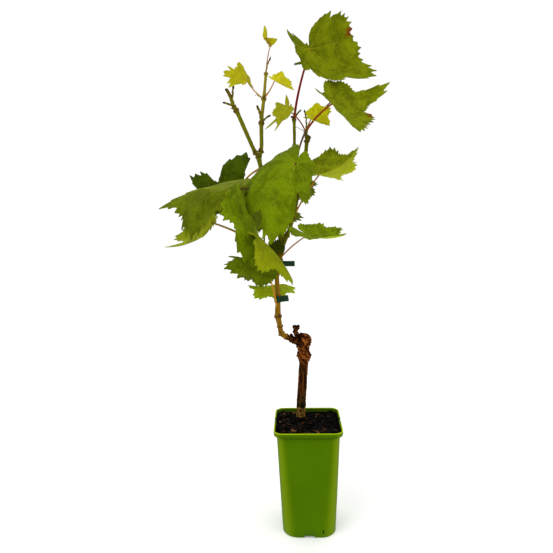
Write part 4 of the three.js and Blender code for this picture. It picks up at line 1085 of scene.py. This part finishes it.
def stub_part(name, stub, relief, girth, keys):
    """A cut stub: a short tapered limb with a flat ragged end."""
    node, length, lean, bearing, radius = stub
    columns, rows = MESH["stub"]
    share = np.linspace(0, 1, rows)
    path = bowed_path(nodes_of(name)[node], share, lean, bearing, length, 0.06)
    reach = radius * girth * (1 - 0.2 * share) * np.where(share > 0.99, 0.82, 1)
    grid = tube(path, reach, columns, square_to(heading(lean, bearing)))
    grid += unit(grid - path[:, None]) * (relief * lumps(grid, 3, 31))[..., None]
    rising = {"raised": 0.2 + 0.7 * share**4, "cut": smoothstep(0.8, 0.97, share),
              "node": smoothstep(0.1, 0.8, share), "knot": 0 * share, "pit": 0 * share}
    masks = {key: with_poles(np.repeat(rising[key][:, None], columns, axis=1)) for key in keys}
    return (*closed_skin(grid), masks)


def graft_height():
    """The level of the graft: the height of the trunk's fourth node."""
    return nodes_of("trunk")[4][2]


def shoot_part(name, relief, girth):
    """A shoot's rings: a bell on each node, faint ribs along it, and a node mask."""
    places, path, radius, near = along_stem(name, "shoot")
    radius = (radius + 0.3 * near) * np.where(places > places[-1] - 0.004, 0.8, 1) * girth
    grid = tube(path, radius, MESH["shoot"][0])
    out = unit(grid - path[:, None])
    ribs = relief * 0.35 * lumps(grid, 2.2, 41, (1, 1, 14)) + 0.25 * near[:, None] * lumps(grid, 2.4, 42)
    grid = grid + out * ribs[..., None]
    near = np.repeat(np.clip(near, 0, 1)[:, None], grid.shape[1], axis=1)
    return (*closed_skin(grid), {"node": with_poles(near), "cut": np.zeros(near.size + 2)})


def bud_part(foot, ahead, length):
    """A bud: rings along a short path, fat at a third of its length and pointed at its tip."""
    columns, rows = MESH["bud"]
    share = np.linspace(0, 1, rows)
    path = foot + share[:, None] * length * ahead
    reach = length * 0.3 * np.sin(np.pi * share**0.7) ** 0.8 + 0.02
    return even_part(tube(path, reach, columns, square_to(ahead)), node=1, cut=0.3)


def tendril_part(foot, lean, bearing, length, turns, radius):
    """A tendril: a path that leans off and winds up in a shrinking helix."""
    columns, rows = MESH["tendril"]
    share = np.linspace(0, 1, rows)
    ahead = heading(lean, bearing)
    side = square_to(ahead, (0, 0, 1))
    over = np.cross(side, ahead)
    curl = smoothstep(0.35, 1, share) * length * 0.16
    angle = 2 * np.pi * turns * smoothstep(0.3, 1, share)
    path = foot + ahead * (length * np.sin(share * 1.5))[:, None]
    path = path + side * (curl * (1 - np.cos(angle)))[:, None] + over * (curl * np.sin(angle))[:, None]
    return even_part(tube(path, radius * (1 - 0.6 * share), columns, side), node=0, cut=0)


def bare_stalk_part(foot, lean, bearing, length, radius):
    """A stalk that lost its leaf: a slim cone on a slightly bowed path, dark red all over."""
    columns, rows = MESH["bare stalk"]
    share = np.linspace(0, 1, rows)
    path = bowed_path(foot, share, lean, bearing, length, 0.05)
    grid = tube(path, radius * (1.1 - 0.3 * share), columns, square_to(heading(lean, bearing)))
    return even_part(grid, node=1, cut=0)


# What else stands on a stem's node, with the function that makes it: the stem and node, then a
# tendril's lean, bearing, length, turns and radius, or a bare leaf stalk's lean, bearing, length and
# radius.
EXTRAS = [
    (bare_stalk_part, "cane", 7, 38, 190, 23, 1.0), (bare_stalk_part, "cane", 7, 9, -120, 31, 1.3),
    (tendril_part, "shoot_left_top", 3, 60, 165, 15, 0.8, 0.5),
    (tendril_part, "shoot_right", 6, 60, 170, 16, 0.9, 0.45),
]


class GRAPEVINE_OT_bark(bpy.types.Operator):
    """Builds the trunk, its spur and the arm that carries the cane, with the relief of their bark."""

    bl_idname = "grapevine.bark"
    bl_label = "Trunk and old wood"

    def execute(self, context):
        settings = context.scene.grapevine_stem
        relief = settings.relief / MM
        graft = graft_height() * MM
        for name, stem in STEMS.items():
            if stem["finish"] != "bark":
                continue
            parts = [bark_part(name, relief)]
            parts += [stub_part(name, stub, relief, 1, ("knot", "pit", "raised")) for stub in stem["stubs"]]
            points, faces, masks = joined(parts)
            piece = mesh_piece(f"{name}_bark", points, faces, masks)
            shade = 1 if name == "trunk" else 0.5
            dress(piece, bark_finish(f"{name}_bark", settings, graft, shade), "bark", name)
        return {"FINISHED"}


class GRAPEVINE_OT_shoots(bpy.types.Operator):
    """Builds the cane and the green shoots with their nodes, buds, cut stubs and tendrils."""

    bl_idname = "grapevine.shoots"
    bl_label = "Cane and shoots"

    def execute(self, context):
        settings = context.scene.grapevine_stem
        relief, bud = settings.relief / MM, settings.bud / MM
        for name, stem in STEMS.items():
            if stem["finish"] == "bark":
                continue
            parts = [shoot_part(name, relief, settings.girth)]
            parts += [stub_part(name, stub, relief, settings.girth + 0.1, ("node", "cut"))
                      for stub in stem["stubs"]]
            nodes = nodes_of(name)
            for node in range(1, len(nodes) - 1):
                bearing = 40 + 180 * (node % 2) + 25 * node
                foot = nodes[node] + heading(90, bearing) * stem["internodes"][node - 1][3]
                parts.append(bud_part(foot + (0, 0, 0.4), heading(35, bearing), bud))
            parts += [make(nodes[node], *shape) for make, carrier, node, *shape in EXTRAS if carrier == name]
            points, faces, masks = joined(parts)
            piece = mesh_piece(f"{name}_skin", points, faces, masks)
            finish = stem["finish"]
            base = settings.ripe if finish == "cane" else settings.green
            young = nodes[2][2] * MM if name == "shoot_left_top" else 1
            dress(piece, shoot_finish(f"{name}_skin", base, NODES[finish], young, settings), finish, name)
        return {"FINISHED"}


# ---- Ties ----


def tie_part(tie, thickness):
    """A tape round the cane: a flat section carried round an ellipse, and two ends brought together
    in a tail that curves a little. In millimetres, before it is turned and moved to its node."""
    height, (long, short) = tie["height"], tie["half"]
    angle = np.linspace(0, 2 * np.pi, TIE_COLUMNS, endpoint=False)
    loop = np.stack([np.cos(angle), np.sin(angle)], axis=-1)
    section = [(0.02, -0.5), (0, -0.46), (0, 0.46), (0.02, 0.5), (0.98, 0.5), (1, 0.46), (1, -0.46),
               (0.98, -0.5)]
    rings = []
    for out, level in section:
        plan = loop * (long + out * thickness, short + out * thickness)
        rings.append(np.concatenate([plan, np.full((TIE_COLUMNS, 1), level * height)], axis=-1))
    grid = np.stack(rings)
    columns = np.arange(grid.shape[0] * TIE_COLUMNS).reshape(-1, TIE_COLUMNS)
    below, beside = np.roll(columns, -1, axis=0), np.roll(columns, -1, axis=1)
    quads = np.stack([columns, below, np.roll(below, -1, axis=1), beside], axis=-1).reshape(-1, 4)
    parts = [(grid.reshape(-1, 3), [quads], {})]
    for side in (-0.42, 0.42):
        share = np.linspace(0, 1, 16)
        path = np.stack([long + share * tie["tail"], side + side * 1.1 * share**2, 0 * share], axis=-1)
        corner = np.array([(-0.5, -0.5), (0.5, -0.5), (0.5, 0.5), (-0.5, 0.5)]) * (thickness, height)
        bar = path[:, None] + np.concatenate([np.zeros((4, 1)), corner], axis=-1)
        parts.append((*closed_skin(bar), {}))
    points, faces, masks = joined(parts)
    return points, faces, masks


class GRAPEVINE_OT_ties(bpy.types.Operator):
    """Builds the two tapes round the cane."""

    bl_idname = "grapevine.ties"
    bl_label = "Ties"

    def execute(self, context):
        settings = context.scene.grapevine_tie
        material = tape_finish(settings)
        for name, tie in TIES.items():
            points, faces, _ = tie_part(tie, settings.thickness / MM)
            tilt, turn = np.radians(tie["tilt"]), np.radians(tie["bearing"])
            lean = np.array([[np.cos(tilt), 0, -np.sin(tilt)], [0, 1, 0], [np.sin(tilt), 0, np.cos(tilt)]])
            spin = np.array([[np.cos(turn), np.sin(turn), 0], [-np.sin(turn), np.cos(turn), 0], [0, 0, 1]])
            place = nodes_of(tie["on"][0])[tie["on"][1]] + (0, 0, tie["lift"])
            piece = mesh_piece(f"{name}_tape", points @ lean @ spin + place, faces)
            piece.data.polygons.foreach_set("use_smooth", np.zeros(len(piece.data.polygons), bool))
            dress(piece, material, "tie", name)
        return {"FINISHED"}


# ---- Leaves ----


def outline(angle, blade):
    """The reach from the joint at each angle from the midrib: straight shares from lobe tip to lobe
    tip, drawn in at the waist and cut by a bell-shaped notch between two tips. Past the last tip it
    falls back to the joint. Each of the blade's own trims then lengthens or shortens it in a bell."""
    away = np.abs(angle)
    lobe = np.minimum(away // LOBE_STEP, 2).astype(int)
    between = away / LOBE_STEP - lobe
    notch = blade["cut"] * NOTCH_DEPTH[lobe] * bell(between - 0.5, NOTCH_SPREAD)
    waist = LOBE_WAIST * np.sin(np.pi * between) ** 2
    to_joint = np.clip((away - 3 * LOBE_STEP) / (180 - 3 * LOBE_STEP), 0, 1)
    sides = []
    for lobes in (blade["left"], blade["right"]):
        lateral, basal, heel = (*lobes, (1 + lobes[1]) / 2)[:3]
        tips = LOBE_REACH * (blade["centre"], lateral, basal, heel)
        lobed = (tips[lobe] + (tips[lobe + 1] - tips[lobe]) * between) * (1 - waist) * (1 - notch)
        back = tips[3] + (JOINT_REACH - tips[3]) * to_joint**1.5
        sides.append(np.where(away < 3 * LOBE_STEP, lobed, back))
    share = 1
    for place, change, width in blade["trims"]:
        share = share * (1 + change * bell((angle - place + 180) % 360 - 180, width))
    return np.where(angle > 0, *sides) * share


def one_tooth(along):
    """A tooth that rises over a third of its length and falls over the rest, repeated each unit."""
    share = (along + 1 / 3) % 1
    return np.minimum(3 * share, 1.5 * (1 - share)) ** 0.85


def teeth(angle, count, phase):
    """Teeth of a count per lobe, about -1 to 1: each rises steeply on the side of its lobe's tip and
    falls in twice that length, with a small one on its long side. Their size wavers with the angle."""
    lobe = np.clip(np.round(angle / LOBE_STEP), -3, 3) * LOBE_STEP
    place = np.abs(angle - lobe) * count / LOBE_STEP
    wavering = 1 + 0.3 * np.sin(np.radians(angle) * 5.3 + phase)
    return wavering * (1.5 * one_tooth(place) + 0.5 * one_tooth(place * 2)) - 1


def roll_up(length, height, degrees):
    """Rolls a length and a height over it round a curve of so many degrees per unit of length."""
    bend = np.radians(np.where(np.abs(degrees) < 0.01, 0.01, degrees))
    turn = bend * length
    return np.sin(turn) / bend + height * np.sin(turn), height * np.cos(turn) - (1 - np.cos(turn)) / bend


def blade_point(blade, joint, angle, reach, lift=0.0):
    """Points of a blade at angles from its midrib and reaches from its joint, in blade lengths: the
    ripple, the fold and a lift raise them, and the side and then the length are rolled up."""
    turn = np.radians(angle)
    along, aside = reach * np.cos(turn), reach * np.sin(turn)
    height, phase = blade["ripple"]
    ripple = height * reach**2 * np.sin(3 * turn + np.radians(phase))
    fold = blade["fold"] * (np.hypot(aside, FOLD_SOFTNESS) - FOLD_SOFTNESS)
    curl = np.where(aside > 0, blade["curl"][1], blade["curl"][2])
    spread, raised = roll_up(np.abs(aside), ripple + fold + lift, curl)
    forward, up = roll_up(along, raised, blade["curl"][0])
    size, lean, bearing, roll = blade["pose"]
    ahead, level = heading(lean, bearing), heading(90, bearing + 90)
    above = np.cross(ahead, level)
    sideways = level * np.cos(np.radians(roll)) + above * np.sin(np.radians(roll))
    normal = np.cross(ahead, sideways)
    shape = forward[..., None] * ahead + (np.sign(aside) * spread)[..., None] * sideways
    return joint + size * (shape + up[..., None] * normal)


def both_sides(values):
    """Values of the underside's rings, and again in reverse for the upper side's, with the poles."""
    return with_poles(np.concatenate([values, values[::-1]]))


def blade_part(blade, joint, settings):
    """A blade as a closed skin: the underside from its joint out to the rim, and the upper side back.
    Its lift is half its thickness, the sunk veins, the swelling between them and a frilled rim."""
    size = blade["pose"][0]
    count, row_count = BLADE_MESH[size > LARGE_BLADE]
    turns = 360 / LOBE_STEP * count * TOOTH_COLUMNS
    angle = np.linspace(-180, 180, int(turns), endpoint=False)[None]
    rings = np.concatenate([np.linspace(0.02, 0.97, row_count), [0.99, 1]])[:, None]
    toothed = 1 + TOOTH_HEIGHT * teeth(angle, count, size) * smoothstep(0.7, 1, rings)
    reach = rings * outline(angle, blade) * toothed
    nearest = np.clip(np.round(angle / LOBE_STEP), -3, 3) * LOBE_STEP
    turn = np.radians(np.abs(angle - nearest))
    along, off = reach * np.cos(turn) * size, reach * np.sin(turn) * size
    rank = (along - off) / (settings.vein_spacing * size)
    sunk = settings.vein_depth / MM * bell(off, VEIN_WIDTH)
    swell = settings.pillow / MM * np.abs(np.sin(np.pi * rank)) ** 0.7 * smoothstep(0, 6, off)
    frill = 0.011 * size * rings**4 * np.sin(np.radians(angle) * 13 + size)
    lift = (swell - sunk) * smoothstep(0.05, 0.2, rings) * smoothstep(1.05, 0.85, rings) + frill
    half = settings.thickness / MM / 2 * np.where(rings > 0.995, 0.5, 1)
    under = blade_point(blade, joint, angle, reach, (lift - half) / size)
    upper = blade_point(blade, joint, angle, reach, (lift + half) / size)
    grid = np.concatenate([under, upper[::-1]])
    flat = np.stack([reach * np.cos(np.radians(angle)), reach * np.sin(np.radians(angle))], axis=-1) * size
    vein = np.stack([along, off], axis=-1)
    side = np.concatenate([np.ones_like(reach), np.zeros_like(reach)])
    share, lobe = blade["dry"]
    dry = share * smoothstep(0.8, 0.95, rings) * np.exp(-(((angle - lobe) / 5) ** 4))
    # Painted light: the half of the blade that is painted in its glow colour.
    side_shade = smoothstep(-0.02, 0.06, flat[..., 1] / size * np.sign(blade["glow"]))
    tone = abs(blade["glow"]) * side_shade
    masks = {"under": with_poles(side), "dry": both_sides(dry + 0 * reach), "tone": both_sides(tone)}
    return (*closed_skin(grid), masks, {"blade": both_sides(flat) * MM, "vein": both_sides(vein) * MM})


def stalk_part(blade, foot, joint, girth):
    """A leaf stalk: a quadratic curve that bows, thick at its foot and at its joint."""
    _, lean, bearing, bow, radius = blade["stalk"]
    columns, rows = MESH["stalk"]
    share = np.linspace(0, 1, rows)[:, None]
    end = blade_point(blade, joint, np.array(0.0), np.array(1.5 / blade["pose"][0]))
    middle = (foot + joint) / 2 + heading(lean - 90, bearing) * 2 * bow
    path = foot * (1 - share) ** 2 + middle * 2 * share * (1 - share) + end * share**2
    ends = 0.55 * bell(share, 0.05) + 0.25 * bell(1 - share, 0.03)
    reach = radius * girth * (1.15 - 0.35 * share + ends)
    grid = tube(path, reach, columns, square_to(heading(lean, bearing), (0.31, 0.52, 0.79)))
    return (*closed_skin(grid), {"along": with_poles(np.repeat(share, columns, axis=1))})


class GRAPEVINE_OT_leaves(bpy.types.Operator):
    """Builds every leaf: a toothed and veined blade, and its stalk."""

    bl_idname = "grapevine.leaves"
    bl_label = "Leaves"

    def execute(self, context):
        settings = context.scene.grapevine_leaf
        stem_settings = context.scene.grapevine_stem
        for name, row in LEAVES.items():
            foot = nodes_of(row["on"][0])[row["on"][1]]
            blades, stalks, part = [], [], row
            while part:
                joint = foot + part["stalk"][0] * heading(part["stalk"][1], part["stalk"][2])
                blades.append(blade_part(part, joint, settings))
                stalks.append(stalk_part(part, foot, joint, stem_settings.girth))
                foot, part = joint, part["next"]
            points, faces, masks = joined([blade[:3] for blade in blades])
            maps = {key: np.concatenate([blade[3][key] for blade in blades]) for key in ("blade", "vein")}
            piece = mesh_piece(f"{name}_blade", points, faces, masks, maps)
            slot = "young_leaf" if row["finish"] == "young" else "leaf"
            material = blade_finish(f"{name}_blade", GREENS[row["green"]], row["light"],
                                    row["pose"][0] * MM, VARIETY[row["finish"]], settings)
            dress(piece, material, slot, name)
            points, faces, masks = joined(stalks)
            piece = mesh_piece(f"{name}_stalk", points, faces, masks)
            dress(piece, stalk_finish(f"{name}_stalk", STALKS[row["red"]], stem_settings), slot, name)
        return {"FINISHED"}


# ---- Stage ----

CAMERA_PLACE = (-0.013, -0.641, 0.414)
CAMERA_TURN = (("Z", 2.25), ("X", 83.7), ("Z", -1.17))  # heading, pitch and roll in degrees
FLOOR_REACH = 6000
LAMP_AIM = (0, 0, 0.35)
# The lamps: name, place, width, and share of the lamp setting's power.
LAMPS = (("key_lamp", (-0.8, -0.9, 1.8), 0.8, 1.0), ("fill_lamp", (1.2, -0.7, 0.9), 1.2, 0.3))


class GRAPEVINE_OT_stage(bpy.types.Operator):
    """Lays the floor, hangs the lights and sets up the camera."""

    bl_idname = "grapevine.stage"
    bl_label = "Stage"

    def execute(self, context):
        settings = context.scene.grapevine_stage
        corners = np.array([(-1, -1, 0), (1, -1, 0), (1, 1, 0), (-1, 1, 0)]) * FLOOR_REACH
        floor = mesh_piece("floor", corners, [np.array([[0, 1, 2, 3]])])
        paint = Finish("floor_paint", 0.9)
        paint.shader.inputs["Emission Color"].default_value = (1, 1, 1, 1)
        paint.shader.inputs["Emission Strength"].default_value = settings.glow
        floor.data.materials.append(paint.done(tuple(settings.floor)))
        world = bpy.data.worlds.new("studio")
        world.use_nodes = True
        sky = world.node_tree.nodes["Background"]
        sky.inputs["Color"].default_value = (1, 1, 1, 1)
        sky.inputs["Strength"].default_value = settings.sky
        context.scene.world = world
        for name, place, size, share in LAMPS:
            lamp = bpy.data.lights.new(name, "AREA")
            lamp.size, lamp.energy = size, settings.lamp * share
            light = bpy.data.objects.new(name, lamp)
            context.collection.objects.link(light)
            light.location = place
            aim = np.array(LAMP_AIM) - np.array(place)
            light.rotation_euler = (np.arccos(-aim[2] / np.linalg.norm(aim)), 0, np.arctan2(-aim[0], aim[1]))
        camera = bpy.data.objects.new("camera", bpy.data.cameras.new("camera"))
        camera.data.lens, camera.data.sensor_width = settings.lens, 36
        pose = Matrix.Translation(CAMERA_PLACE)
        for axis, degrees in CAMERA_TURN:
            pose = pose @ Matrix.Rotation(np.radians(degrees), 4, axis)
        camera.matrix_world = pose
        context.collection.objects.link(camera)
        context.scene.camera = camera
        context.scene.view_settings.view_transform = "Standard"
        return {"FINISHED"}


# ---- Add-on ----

SETTINGS = {"grapevine_pot": PotSettings, "grapevine_soil": SoilSettings, "grapevine_stem": StemSettings,
            "grapevine_leaf": LeafSettings, "grapevine_tie": TieSettings, "grapevine_stage": StageSettings}
OPERATORS = (GRAPEVINE_OT_stage, GRAPEVINE_OT_pot, GRAPEVINE_OT_soil, GRAPEVINE_OT_bark,
             GRAPEVINE_OT_shoots, GRAPEVINE_OT_ties, GRAPEVINE_OT_leaves)


class GRAPEVINE_PT_panel(bpy.types.Panel):
    """Lists the pieces of the vine and their settings."""

    bl_idname = "GRAPEVINE_PT_panel"
    bl_label = "Grapevine"
    bl_space_type = "VIEW_3D"
    bl_region_type = "UI"
    bl_category = "Grapevine"

    def draw(self, context):
        for operator in OPERATORS:
            self.layout.operator(operator.bl_idname)
        for name, group in SETTINGS.items():
            box = self.layout.box()
            for key in group.__annotations__:
                box.prop(getattr(context.scene, name), key)


def register():
    for group in (*SETTINGS.values(), *OPERATORS, GRAPEVINE_PT_panel):
        bpy.utils.register_class(group)
    for name, group in SETTINGS.items():
        setattr(bpy.types.Scene, name, PointerProperty(type=group))


def unregister():
    for name in SETTINGS:
        delattr(bpy.types.Scene, name)
    for group in (GRAPEVINE_PT_panel, *reversed(OPERATORS), *SETTINGS.values()):
        bpy.utils.unregister_class(group)


def main():
    """Builds every piece in order."""
    register()
    for operator in OPERATORS:
        getattr(bpy.ops.grapevine, operator.bl_idname.split(".")[1])()
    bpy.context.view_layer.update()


if __name__ == "__main__":
    main()
